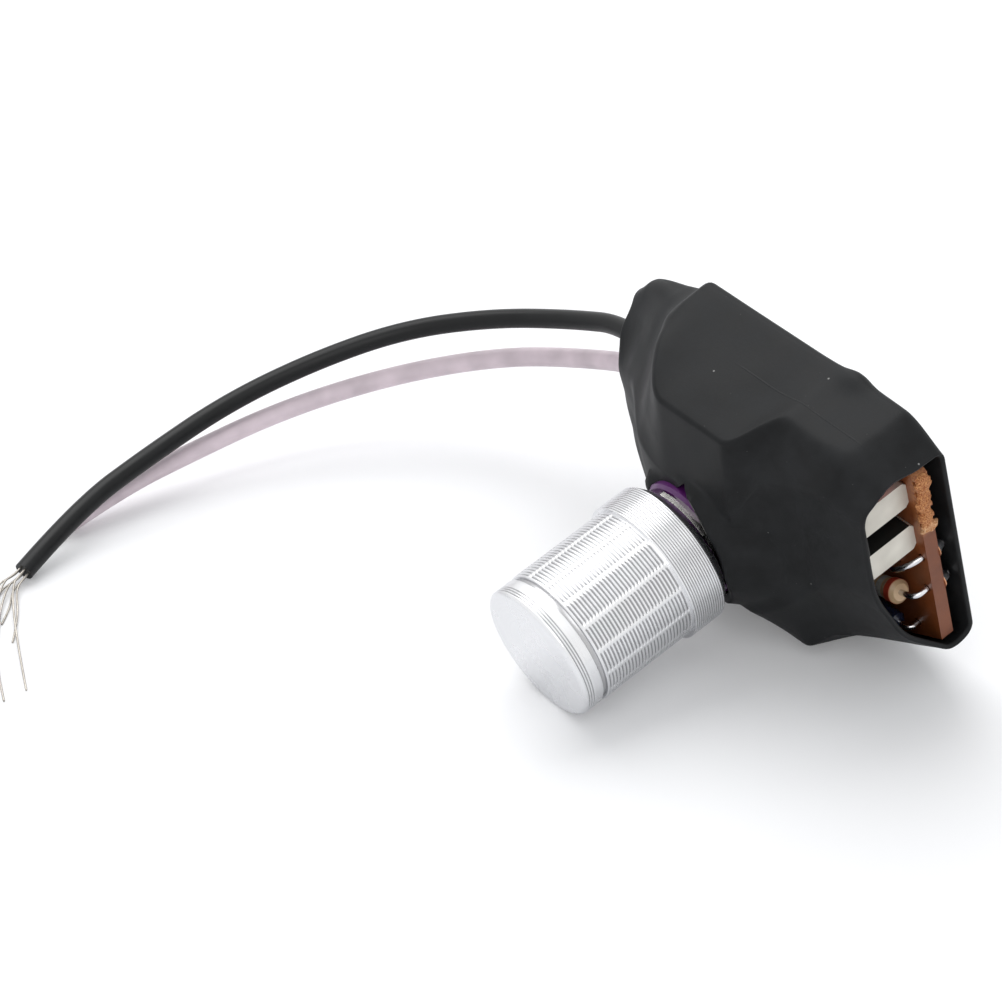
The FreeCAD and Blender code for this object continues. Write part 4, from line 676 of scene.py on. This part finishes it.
def sleeve_skin(softness, steps=230):
    """Points and normals of the sleeve's outside as a grid: sections along x, an outline around.

    The outlines are joined by curves that don't swing past them. Each row is then the mean of its
    neighbours under a bell curve, wide at the neck and narrow elsewhere, and broad noise presses the
    skin in and out where the tube spans free air. A lead's end pushes a small bump out of the back
    edge, the neck ends on a slightly uneven cut, and the mouth's front lip stands back.
    """
    places = np.array([section[0] for section in SLEEVE_SECTIONS])
    outlines = np.array([rounded_outline(section[1], section[2]) for section in SLEEVE_SECTIONS])
    at = np.linspace(places[0], places[-1], steps)
    yz = spline_through(places, outlines, at)
    spread = np.interp(at, AVERAGED_AT, AVERAGED_OVER)
    weight = np.exp(-0.5 * ((at[:, None] - at[None, :]) / spread[:, None]) ** 2)
    smooth = np.tensordot(weight / weight.sum(axis=1, keepdims=True), yz, axes=1)
    yz = yz + (smooth - yz) * np.clip((yz[..., 1:] - 0.5) / 3.0, 0, 1)
    skin = np.concatenate([np.broadcast_to(at[:, None, None], yz.shape[:2] + (1,)), yz], axis=-1)
    normal = grid_normals(skin)
    if np.sum(normal * (skin - skin.mean(axis=1, keepdims=True)), axis=-1).mean() < 0:
        normal = -normal
    broad = value_noise(skin, 5.5, 3) * 0.7 + value_noise(skin, 2.6, 8) * 0.3
    free = np.clip((skin[..., 2] + 2.0) / 4.0, 0, 1)
    neck = np.clip((-13.0 - skin[..., 0]) / 5.0, 0, 1)
    folds = np.sin(skin[..., 1] * 1.3 + 0.9) * 0.05 * neck
    lead_end = np.exp(-np.sum(((skin - LEAD_END) / LEAD_REACH) ** 2, axis=-1))
    moved = skin + normal * (broad * softness * free + folds + 0.5 * lead_end)[..., None]
    cut = value_noise(skin, 1.7, 21) * 0.16 * np.clip((-15.5 - skin[..., 0]) / 2.8, 0, 1)
    lip = 0.95 * np.clip(skin[..., 2] / 5.5, 0, 1) * np.clip((skin[..., 0] - 13.0) / 7.8, 0, 1)
    moved[..., 0] += cut - lip
    return moved, normal


def sleeve_shell(settings):
    """The whole tube as one closed grid: outside from neck to mouth, round the rim, and back inside.

    The inside is the outside moved in by the wall. Its collar is lower by the wall and narrower by the
    share of the wall that keeps the cone's thickness.
    """
    skin, normal = sleeve_skin(settings.softness)
    wall = settings.wall
    outer = with_collar(skin, COLLAR_RADIUS, COLLAR_HEIGHT)
    inner = with_collar(skin - normal * wall, COLLAR_RADIUS - 0.58 * wall, COLLAR_HEIGHT - wall)
    rim_angle = np.linspace(0, math.pi, 5)[1:-1]
    rims = []
    for row, side in ((-1, 1.0), (0, -1.0)):
        middle = (outer[row] + inner[row]) / 2
        out = (outer[row] - inner[row]) / 2
        push = np.array([side, 0.0, 0.0]) * wall * 0.35
        rim = [middle + out * math.cos(a) + push * math.sin(a) for a in rim_angle]
        rims.append(np.array(rim))
    return np.concatenate([outer, rims[0], inner[::-1], rims[1][::-1]])


def hole_outline(radius, count=144):
    """The torn shaft hole: a slightly uneven circle with a pointed tear at the top.

    The tear is a triangle over the circle. Its reach at an angle is where the ray at that angle meets
    the straight side from the tip to the foot on its side.
    """
    angle = np.linspace(0, 2 * math.pi, count, endpoint=False)
    reach = radius + 0.05 * np.sin(5 * angle + 1.0) + 0.04 * np.sin(11 * angle)
    reach -= 1.2 * np.exp(-((angle - math.radians(138)) / math.radians(32)) ** 2)
    tip_angle = math.atan2(TEAR_TIP[1], TEAR_TIP[0])
    ray = np.stack([np.cos(angle), np.sin(angle)], axis=-1)
    for foot, side in zip(TEAR_FEET, (1.0, -1.0)):
        edge = foot - TEAR_TIP
        cross = ray[:, 0] * edge[1] - ray[:, 1] * edge[0]
        along = (TEAR_TIP[0] * edge[1] - TEAR_TIP[1] * edge[0]) / np.where(np.abs(cross) < 1e-6, 1e-6, cross)
        turn = (angle - tip_angle) * side
        width = (math.atan2(foot[1], foot[0]) - tip_angle) * side
        within = (turn >= 0) & (turn <= width)
        reach = np.where(within, np.maximum(reach, along), reach)
    return reach[:, None] * ray


class DIMMER_OT_sleeve(bpy.types.Operator):
    """Build the shrink sleeve with its neck, its mouth and the torn shaft hole"""

    bl_idname = "dimmer.sleeve"
    bl_label = "Sleeve"

    def execute(self, context):
        settings = context.scene.dimmer_sleeve
        shell = mesh_from_grid("sleeve_shell", to_row(sleeve_shell(settings)), True)
        outward(shell)
        piece = new_piece("shrink_sleeve", shell, sleeve_material(settings), "module")
        outline = hole_outline(settings.hole_radius)
        wall = np.array([np.column_stack([outline, np.full(len(outline), z)]) for z in PUNCH_HEIGHTS])
        low, high = wall[:1] * (0.0, 0.0, 1.0), wall[-1:] * (0.0, 0.0, 1.0)
        punch_mesh = mesh_from_grid("hole_punch", to_row(np.concatenate([low, wall, high])))
        outward(punch_mesh, SAME_POINT)
        punch = add_object("hole_punch", punch_mesh)
        cut = piece.modifiers.new("Shaft Hole", "BOOLEAN")
        cut.operation = "DIFFERENCE"
        cut.solver = "EXACT"
        cut.object = punch
        apply_modifiers(piece)
        bpy.data.objects.remove(punch)
        piece.data.set_sharp_from_angle(angle=math.radians(55))
        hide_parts("sleeve")
        return {"FINISHED"}


# Knob


def knob_profile(settings):
    """The knob's closed half section, from the face's middle to the bore's end, one row for each ring.

    A row is (radius, height, share, depth, on grip): share runs from 0 on a crest to 1 in the bottom of a
    fine cut, depth is how deep the cut goes there, and on grip is 1 where the cuts stop at the lands.
    """
    back, front = 12.0, 29.0
    band, groove, grip, base, socket, bore = 6.65, 6.3, 6.7, 7.1, 4.5, 3.0
    base_top = back + 4.4
    band_end = front - 2.1
    groove_end = band_end - 0.5
    share = np.array([0.0, 0.16, 0.42, 0.60, 0.84])
    sink = np.array([0.0, 0.0, 1.0, 1.0, 0.0])

    def plain(*pairs):
        return [(radius, height, 0.0, 0.0, 0.0) for radius, height in pairs]

    def cuts(radius, high, low, pitch, depth, on_grip):
        count = max(1, int(round((high - low) / pitch)))
        steps = (np.arange(count)[:, None] + share[None, :]).ravel() / count
        height = high + (low - high) * steps
        return [(radius, h, s, s * depth, on_grip) for h, s in zip(height, np.tile(sink, count))]

    depth = settings.groove_depth
    profile = plain(*[(r, front) for r in (0.0, 0.8, 1.6, 2.6, 3.6, 4.6, 5.5, 6.1, groove)])
    profile += plain((6.38, front - 0.03), (6.6, front - 0.24), (band, front - 0.34))
    profile += cuts(band, front - 0.36, band_end + 0.95, 0.26, depth * 0.5, 0.0)
    profile += plain((band, band_end + 0.9), (band, band_end + 0.05), (6.6, band_end))
    profile += [(6.32, band_end - 0.02, 0.7, 0.0, 0.0), (groove, band_end - 0.1, 0.8, 0.0, 0.0),
                (groove, groove_end + 0.06, 0.8, 0.0, 0.0), (6.34, groove_end, 0.7, 0.0, 0.0)]
    profile += plain((6.62, groove_end), (grip, groove_end - 0.08))
    profile += cuts(grip, groove_end - 0.15, base_top + 0.1, settings.groove_pitch, depth, 1.0)
    profile += plain((grip, base_top + 0.05), (grip, base_top), (7.04, base_top), (base, base_top - 0.06))
    profile += cuts(base, base_top - 0.1, back + 1.06, 0.245, depth * 0.55, 0.0)
    profile += plain((base, back + 1.02), (7.07, back + 0.96), (6.13, back + 0.03), (6.09, back),
                     (5.98, back), (5.95, back + 0.04), (5.95, back + 0.8), (5.95, back + 1.7),
                     (socket, back + 1.7), (socket, back + 3.4), (socket, back + 5.2), (bore, back + 5.2),
                     (bore, back + 9.3), (bore, back + 13.5), (0.0, back + 13.5))
    return np.array(profile)


def knob_grid(settings, sides):
    """Revolve the knob's half section. On the grip each cut fades to nothing at the lands.

    A land is where the angle's distance from the nearest of the evenly spaced ribs is small. The second
    array holds how deep in a cut each point lies, from 0 to 1.
    """
    profile = knob_profile(settings)
    angle = np.linspace(0, 2 * math.pi, sides, endpoint=False)
    spacing = 2 * math.pi / settings.lands
    away = np.abs((angle + spacing / 2) % spacing - spacing / 2) / spacing
    land = np.clip((0.085 - away) / 0.02, 0, 1)
    keep = 1 - profile[:, 4:5] * land[None, :]
    radius = profile[:, :1] - profile[:, 3:4] * keep
    points = np.stack([
        radius * np.cos(angle), radius * np.sin(angle), np.broadcast_to(profile[:, 1:2], radius.shape)
    ], axis=-1)
    return points, profile[:, 2:3] * keep


class DIMMER_OT_knob(bpy.types.Operator):
    """Build the turned aluminium knob with its fine rings and plain lands"""

    bl_idname = "dimmer.knob"
    bl_label = "Knob"

    def execute(self, context):
        settings = context.scene.dimmer_knob
        points, share = knob_grid(settings, settings.lands * 20)
        mesh = mesh_from_grid("knob_turning", to_row(points))
        mesh.attributes.new("cut_depth", "FLOAT", "POINT").data.foreach_set("value", share.ravel())
        outward(mesh, SAME_POINT)
        # settings.cut is painted shade for the bottoms of the grip's rings
        material = turned_material("Turned Aluminium", tuple(settings.colour), 0.27, tuple(settings.cut))
        piece = new_piece("turned_knob", mesh, material, "knob_and_shaft")
        piece.data.set_sharp_from_angle(angle=math.radians(40))
        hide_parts("knob")
        return {"FINISHED"}


# Wires and strands


# Courses of the two hook-up wires from their inner ends to the table, in millimetres of the row frame
BLACK_WIRE_COURSE = [
    (-11.65, 8.07, 20.97), (-20.65, 10.32, 20.34), (-29.39, 9.71, 16.8), (-37.56, 6.51, 13.97),
    (-44.18, 0.61, 11.51), (-47.94, -7.65, 9.14), (-49.82, -16.54, 6.97), (-49.23, -26.16, 5.13),
    (-48.33, -34.64, 3.39), (-45.57, -42.72, 1.15),
]
WHITE_WIRE_COURSE = [
    (-11.95, 9.19, 16.92), (-20.15, 11.25, 15.83), (-28.16, 10.63, 12.56), (-35.64, 7.77, 10.01),
    (-41.65, 2.31, 7.76), (-45.83, -4.81, 6.03), (-48.25, -12.83, 4.72), (-49.35, -21.0, 3.4),
    (-50.2, -28.6, 2.1), (-49.5, -35.2, 1.15),
]

# Loose strands: place in the wire's end face (across, up), then the bends and the tip on the table
BLACK_STRANDS = [
    ((0.0, 0.0), [(-45.15, -45.0, 0.62), (-40.45, -48.9, 0.2)], (-34.85, -52.0, 0.12)),
    ((0.5, 0.0), [(-44.15, -44.5, 0.66), (-40.75, -46.3, 0.3)], (-38.25, -48.5, 0.12)),
    ((-0.5, 0.0), [(-46.05, -45.6, 0.66), (-41.15, -50.0, 0.3)], (-37.45, -51.3, 0.12)),
    ((0.25, 0.45), [(-44.65, -44.6, 0.98), (-39.05, -47.7, 0.5)], (-31.55, -51.1, 0.12)),
    ((-0.25, 0.45), [(-45.55, -45.2, 1.02), (-40.05, -49.8, 0.6)], (-31.45, -53.5, 0.12)),
    ((0.25, -0.45), [(-44.75, -44.6, 0.22), (-42.75, -46.0, 0.14)], (-41.15, -47.9, 0.12)),
    ((-0.25, -0.45), [(-45.65, -45.2, 0.22), (-43.95, -47.0, 0.14)], (-42.85, -49.4, 0.12)),
]
WHITE_STRANDS = [
    ((0.0, 0.0), [(-49.1, -37.0, 0.6)], (-48.3, -39.4, 0.13)),
    ((0.45, 0.1), [(-48.8, -36.9, 0.62)], (-47.9, -39.2, 0.13)),
    ((-0.45, 0.1), [(-49.4, -37.0, 0.6)], (-48.7, -39.2, 0.13)),
    ((0.2, -0.45), [(-49.0, -36.9, 0.2)], (-48.2, -38.7, 0.12)),
    ((-0.25, -0.45), [(-49.3, -36.9, 0.2)], (-48.6, -38.6, 0.12)),
]


# Each wire: node, course, strands, length in metres, slot, finish, the setting of its colour, roughness
WIRES = [
    ("black_wire", BLACK_WIRE_COURSE, BLACK_STRANDS, 0.0829, "wire_black", "Dark Insulation", "dark", 0.34),
    ("white_wire", WHITE_WIRE_COURSE, WHITE_STRANDS, 0.0748, "wire_white", "Pale Insulation", "pale", 0.36),
]


def round_line(name, courses, diameter, sides):
    """A curve object's data with one smooth NURBS spline for each course of control points."""
    curve = bpy.data.curves.new(name, "CURVE")
    curve.dimensions = "3D"
    for course in courses:
        spline = curve.splines.new("NURBS")
        spline.points.add(len(course) - 1)
        for point, place in zip(spline.points, course):
            point.co = (place[0] * MM, place[1] * MM, place[2] * MM, 1.0)
        spline.order_u = 3
        spline.use_endpoint_u = True
        spline.resolution_u = 16
    curve.bevel_depth = diameter / 2
    curve.bevel_resolution = sides // 4
    curve.use_fill_caps = True
    return curve


def strand_course(course, strand):
    """Control points of one loose strand: its place in the wire's end face, its bends and its tip."""
    end = np.array(course[-1])
    along = end - np.array(course[-2])
    along /= np.linalg.norm(along)
    across = -np.cross(along, [0.0, 0.0, 1.0])
    across /= np.linalg.norm(across)
    up = np.cross(across, along)
    up *= np.sign(up[2]) / np.linalg.norm(up)
    (side, rise), bends, tip = strand
    start = end + across * side + up * rise
    return [tuple(start), tuple(start + along * 0.8), *bends, tip]


class DIMMER_OT_strands(bpy.types.Operator):
    """Fan out the bared copper strands of both wires"""

    bl_idname = "dimmer.strands"
    bl_label = "Strands"

    def execute(self, context):
        settings = context.scene.dimmer_wires
        material = grained_material(
            "Tinned Strands", (0.45, 0.42, 0.38), 0.35, metallic=1.0, scale=6000.0
        )
        for wire, course, strands, *_ in WIRES:
            node = wire + "_strands"
            courses = [strand_course(course, strand) for strand in strands]
            curve = round_line(node + "_lines", courses, settings.strand, 8)
            piece = new_piece(node + "_loose", curve, material, "module")
            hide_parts(node)
        return {"FINISHED"}


class DIMMER_OT_wires(bpy.types.Operator):
    """Lay the two hook-up wires along their courses"""

    bl_idname = "dimmer.wires"
    bl_label = "Wires"

    def execute(self, context):
        settings = context.scene.dimmer_wires
        for node, course, _, length, slot, finish, colour, roughness in WIRES:
            material = grained_material(
                finish, tuple(getattr(settings, colour)), roughness, scale=4500.0, bump=0.12, cloud=0.12,
                specular=0.25
            )
            curve = round_line(node + "_line", [course], settings.diameter, 32)
            piece = new_piece(node + "_insulation", curve, material, "module")
            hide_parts(node)
        return {"FINISHED"}


# Board, mouth and potentiometer


def dress(nodes, material):
    """Give CAD nodes a finish."""
    for node in nodes:
        piece = frame["nodes"][node]
        piece.data.materials.clear()
        piece.data.materials.append(material)


def dress_each(finishes):
    """Give CAD nodes the grained finishes of a table."""
    for nodes, name, colour, roughness, extra in finishes:
        dress(nodes.split(), grained_material(name, colour, roughness, **extra))


# Finishes of the board's parts and of the potentiometer: nodes, name, colour, roughness and the rest
MOUTH_FINISHES = [
    ("copper_tracks", "Tarnished Copper", (0.72, 0.36, 0.20), 0.32, dict(metallic=1.0, scale=3000.0, bump=0.08)),
    ("solder_joints", "Dull Solder", (0.60, 0.60, 0.62), 0.30, dict(metallic=1.0, scale=2600.0, bump=0.25)),
    ("heat_sink_screw pot_retaining_ring", "Plated Steel", (0.66, 0.66, 0.68), 0.25,
     dict(metallic=1.0, scale=4000.0, bump=0.06)),
    (" ".join(["jumper_wire", "wire_tails", *[name for name in frame["nodes"] if name.endswith("_leads")]]),
     "Tinned Lead Wire", (0.78, 0.78, 0.80), 0.22, dict(metallic=1.0, scale=5000.0, bump=0.08)),
    ("triac_body", "Black Epoxy", (0.02, 0.02, 0.02), 0.5, dict(bump=0.3)),
    ("box_capacitor_body", "Yellow Box", (0.62, 0.42, 0.06), 0.34, dict(bump=0.2, cloud=0.1)),
    ("filter_capacitor_body", "Red Box", (0.42, 0.05, 0.04), 0.34, dict(bump=0.2, cloud=0.1)),
    # Painted shade: the diac's blue glass is darkened nearly to black, for the shade at the bottom of the mouth
    ("diac_body", "Dark Lacquered Glass", (0.02, 0.03, 0.07), 0.2, dict(scale=3000.0, bump=0.05, coat=0.3)),
]
POTENTIOMETER_FINISHES = [
    ("pot_wafer", "Phenolic Wafer", (0.36, 0.16, 0.06), 0.5, dict(bump=0.3)),
    ("pot_track", "Carbon Film", (0.03, 0.03, 0.032), 0.4, dict(scale=5200.0, bump=0.2)),
    ("pot_terminals pot_nut", "Nickel Plate", (0.74, 0.73, 0.70), 0.22, dict(metallic=1.0, bump=0.06)),
    ("pot_rotor", "Ivory Rotor", (0.70, 0.68, 0.60), 0.4, dict(bump=0.15)),
    ("pot_wiper", "Stamped Brass", (0.74, 0.58, 0.28), 0.28, dict(metallic=1.0, bump=0.08)),
]

# Colours of the resistors' lacquer and bands
LACQUER = (0.66, 0.46, 0.27)
RED, GREY, GOLD = (0.55, 0.06, 0.03), (0.62, 0.60, 0.56), (0.52, 0.36, 0.1)
BROWN, BLACK, ORANGE = (0.2, 0.08, 0.03), (0.01, 0.01, 0.01), (0.5, 0.2, 0.02)


# The torn fibres on the board's end: middle and half sizes in the module's frame, and the tab's y
FIBRES_MIDDLE = (20.3, 9.25, -0.7)
FIBRES_HALF = (0.4, 3.45, 0.7)
FIBRES_TAB = 6.05


def snapped_fibres(rows=170, columns=36):
    """Lumps of torn fibre along the board's snapped end: an upright oval ring carried along y.

    Each point of the ring is pushed out by noise of two sizes, more at the tab. The ring's size is a
    flat power curve along the run, which closes both ends.
    """
    run = np.linspace(-1, 1, rows)[:, None]
    angle = np.linspace(0, 2 * math.pi, columns, endpoint=False)[None, :]
    size = np.sqrt(np.clip(1 - np.abs(run) ** 14, 0, 1))
    (x, y, z), (thick, long, high) = FIBRES_MIDDLE, FIBRES_HALF
    out, up, y = np.broadcast_arrays(thick * np.cos(angle), high * np.sin(angle), y + long * run)
    place = np.stack([x + out, y, z + up], axis=-1)
    lump = value_noise(place, 0.75, 41) * 0.55 + value_noise(place, 0.3, 43) * 0.3
    tab = np.exp(-((y - FIBRES_TAB) / 0.45) ** 2)
    reach = size * (1 + lump * (1 + 0.8 * tab) + 0.35 * tab)
    return np.stack([x + out * reach, y + 0.12 * lump, z + up * reach], axis=-1)


class DIMMER_OT_mouth(bpy.types.Operator):
    """Finish the board and the components that stand in the sleeve's mouth"""

    bl_idname = "dimmer.mouth"
    bl_label = "Board and Components"

    def execute(self, context):
        settings = context.scene.dimmer_board
        dress(["circuit_board"], board_material(settings))
        fibres = mesh_from_grid("snapped_fibres_mesh", to_row(snapped_fibres()))
        outward(fibres, SAME_POINT)
        piece = new_piece("board_snapped_fibres", fibres, fibre_material(), "module")
        # The heat sink's slot carries painted shade
        dress(["heat_sink"], slot_shaded_aluminium())
        dress_each(MOUTH_FINISHES)
        dress(["dipped_capacitor_body"], grained_material(
            "Dipped Red", tuple(settings.film_red), 0.24, scale=900.0, bump=0.25, depth=0.0001, cloud=0.18,
            coat=0.5))
        dress(["resistor_1_body"], banded_material(
            "Banded Lacquer", LACQUER,
            [(2.45, 0.38, RED), (1.05, 0.36, GREY), (-0.1, 0.36, RED), (-1.9, 0.3, GOLD)],
            (9.6, -5.5, 1.5), (19.4, -1.9, 1.5)))
        dress(["resistor_2_body"], banded_material(
            "Small Banded Lacquer", LACQUER,
            [(1.1, 0.2, BROWN), (0.4, 0.2, BLACK), (-0.3, 0.2, ORANGE), (-1.1, 0.2, GOLD)],
            (-8.4, 11.6, 1.2), (-3.8, 11.6, 1.2)))
        return {"FINISHED"}


class DIMMER_OT_potentiometer(bpy.types.Operator):
    """Finish the potentiometer's housing, its works and the nut"""

    bl_idname = "dimmer.potentiometer"
    bl_label = "Potentiometer"

    def execute(self, context):
        settings = context.scene.dimmer_board
        dress(["pot_housing"], grained_material(
            "Violet Housing", tuple(settings.violet), 0.32, bump=0.15, cloud=0.12, coat=0.2))
        dress_each(POTENTIOMETER_FINISHES)
        dress(["pot_bush"], turned_material("Turned Brass", (0.70, 0.58, 0.33), 0.28))
        dress(["pot_shaft"], turned_material("Turned Shaft", (0.80, 0.80, 0.82), 0.26))
        return {"FINISHED"}


# Stage


CAMERA_PLACE = (0.18212424, -0.16264571, 0.19551047)
CAMERA_LOOK = (-0.6368, 0.4940, -0.5920)
CAMERA_LENS = 122.16

# What the lamps point at, then each lamp's name, place, size and share of the lamp's power
LAMP_AIM = (0.0, -0.005, 0.012)
LAMPS = [("Key", (-0.24, 0.06, 0.46), 0.46, 1.9), ("Fill", (0.30, -0.30, 0.50), 0.45, 0.8)]

# The world's strength on the object, the floor's glow for the camera and half the floor's side
SKY_STRENGTH = 0.60
FLOOR_GLOW = 0.14
FLOOR_REACH = 3.0


def aim_at(item, place, direction):
    """Put a camera or a lamp at a place, facing along a direction."""
    item.location = place
    item.rotation_mode = "QUATERNION"
    item.rotation_quaternion = Vector(direction).to_track_quat("-Z", "Y")


class DIMMER_OT_stage(bpy.types.Operator):
    """Set up the floor, the lamps, the world and the camera"""

    bl_idname = "dimmer.stage"
    bl_label = "Stage"

    def execute(self, context):
        scene = context.scene
        settings = scene.dimmer_stage
        data = bpy.data.cameras.new("Camera")
        data.lens = CAMERA_LENS
        data.sensor_width = 36
        data.clip_start = 0.01
        data.clip_end = 20
        scene.camera = add_object("Camera", data)
        aim_at(scene.camera, CAMERA_PLACE, CAMERA_LOOK)

        corners = np.array([[-1, -1, 0], [1, -1, 0], [1, 1, 0], [-1, 1, 0]], float) * FLOOR_REACH
        mesh = bpy.data.meshes.new("floor_sheet")
        mesh.from_pydata(corners, [], [(0, 1, 2, 3)])
        mesh.materials.append(floor_material(settings))
        floor = add_object("floor", mesh)

        scene.world = bpy.data.worlds.new("Studio")
        scene.world.use_nodes = True
        tree = scene.world.node_tree
        tree.nodes.clear()
        rays = add_node(tree, "LightPath").outputs
        mirrored = add_math(tree, "MAXIMUM", rays["Is Glossy Ray"], rays["Is Transmission Ray"])
        seen = add_math(tree, "MAXIMUM", rays["Is Camera Ray"], mirrored)
        sky = add_node(tree, "Background", Color=(0.96, 0.98, 1.0, 1), Strength=SKY_STRENGTH)
        backdrop = add_node(tree, "Background", Color=(1, 1, 1, 1), Strength=1.0)
        mix = add_node(tree, "MixShader", Fac=seen)
        put(tree, mix.inputs[1], sky.outputs[0])
        put(tree, mix.inputs[2], backdrop.outputs[0])
        add_node(tree, "OutputWorld", Surface=mix.outputs[0])

        for name, place, size, share in LAMPS:
            data = bpy.data.lights.new(name, "AREA")
            data.size = size
            data.energy = settings.lamp * share
            aim_at(add_object(name, data), place, Vector(LAMP_AIM) - Vector(place))
        scene.view_settings.view_transform = "Standard"
        return {"FINISHED"}


def floor_material(settings):
    """A pale floor that keeps shadows and fades to plain white where nothing shades it."""
    material, tree, finish = new_material("Pale Floor", settings.floor, 0.7)
    finish["Specular IOR Level"].default_value = 0.15
    finish["Emission Color"].default_value = (1, 1, 1, 1)
    seen = add_node(tree, "LightPath").outputs["Is Camera Ray"]
    put(tree, finish["Emission Strength"], add_product(tree, seen, FLOOR_GLOW))
    return material


# Panel and registration


OPERATORS = [
    DIMMER_OT_stage, DIMMER_OT_strands, DIMMER_OT_wires, DIMMER_OT_sleeve, DIMMER_OT_knob, DIMMER_OT_mouth,
    DIMMER_OT_potentiometer,
]


class DIMMER_PT_panel(bpy.types.Panel):
    """Lists the dimmer's pieces and their settings"""

    bl_label = "Rotary Cord Dimmer"
    bl_idname = "DIMMER_PT_panel"
    bl_space_type = "VIEW_3D"
    bl_region_type = "UI"
    bl_category = "Dimmer"

    def draw(self, context):
        layout = self.layout
        for operator in OPERATORS:
            layout.operator(operator.bl_idname)
        for name, group in SETTINGS.items():
            box = layout.box()
            values = getattr(context.scene, name)
            for key in group.__annotations__:
                box.prop(values, key)


CLASSES = [*SETTINGS.values(), *OPERATORS, DIMMER_PT_panel]


def register():
    for item in CLASSES:
        bpy.utils.register_class(item)
    for name, group in SETTINGS.items():
        setattr(bpy.types.Scene, name, PointerProperty(type=group))


def unregister():
    for name in SETTINGS:
        delattr(bpy.types.Scene, name)
    for item in reversed(CLASSES):
        bpy.utils.unregister_class(item)


def main():
    register()
    bpy.ops.dimmer.stage()
    bpy.ops.dimmer.strands()
    bpy.ops.dimmer.wires()
    bpy.ops.dimmer.sleeve()
    bpy.ops.dimmer.knob()
    bpy.ops.dimmer.mouth()
    bpy.ops.dimmer.potentiometer()


if __name__ == "__main__":
    main()
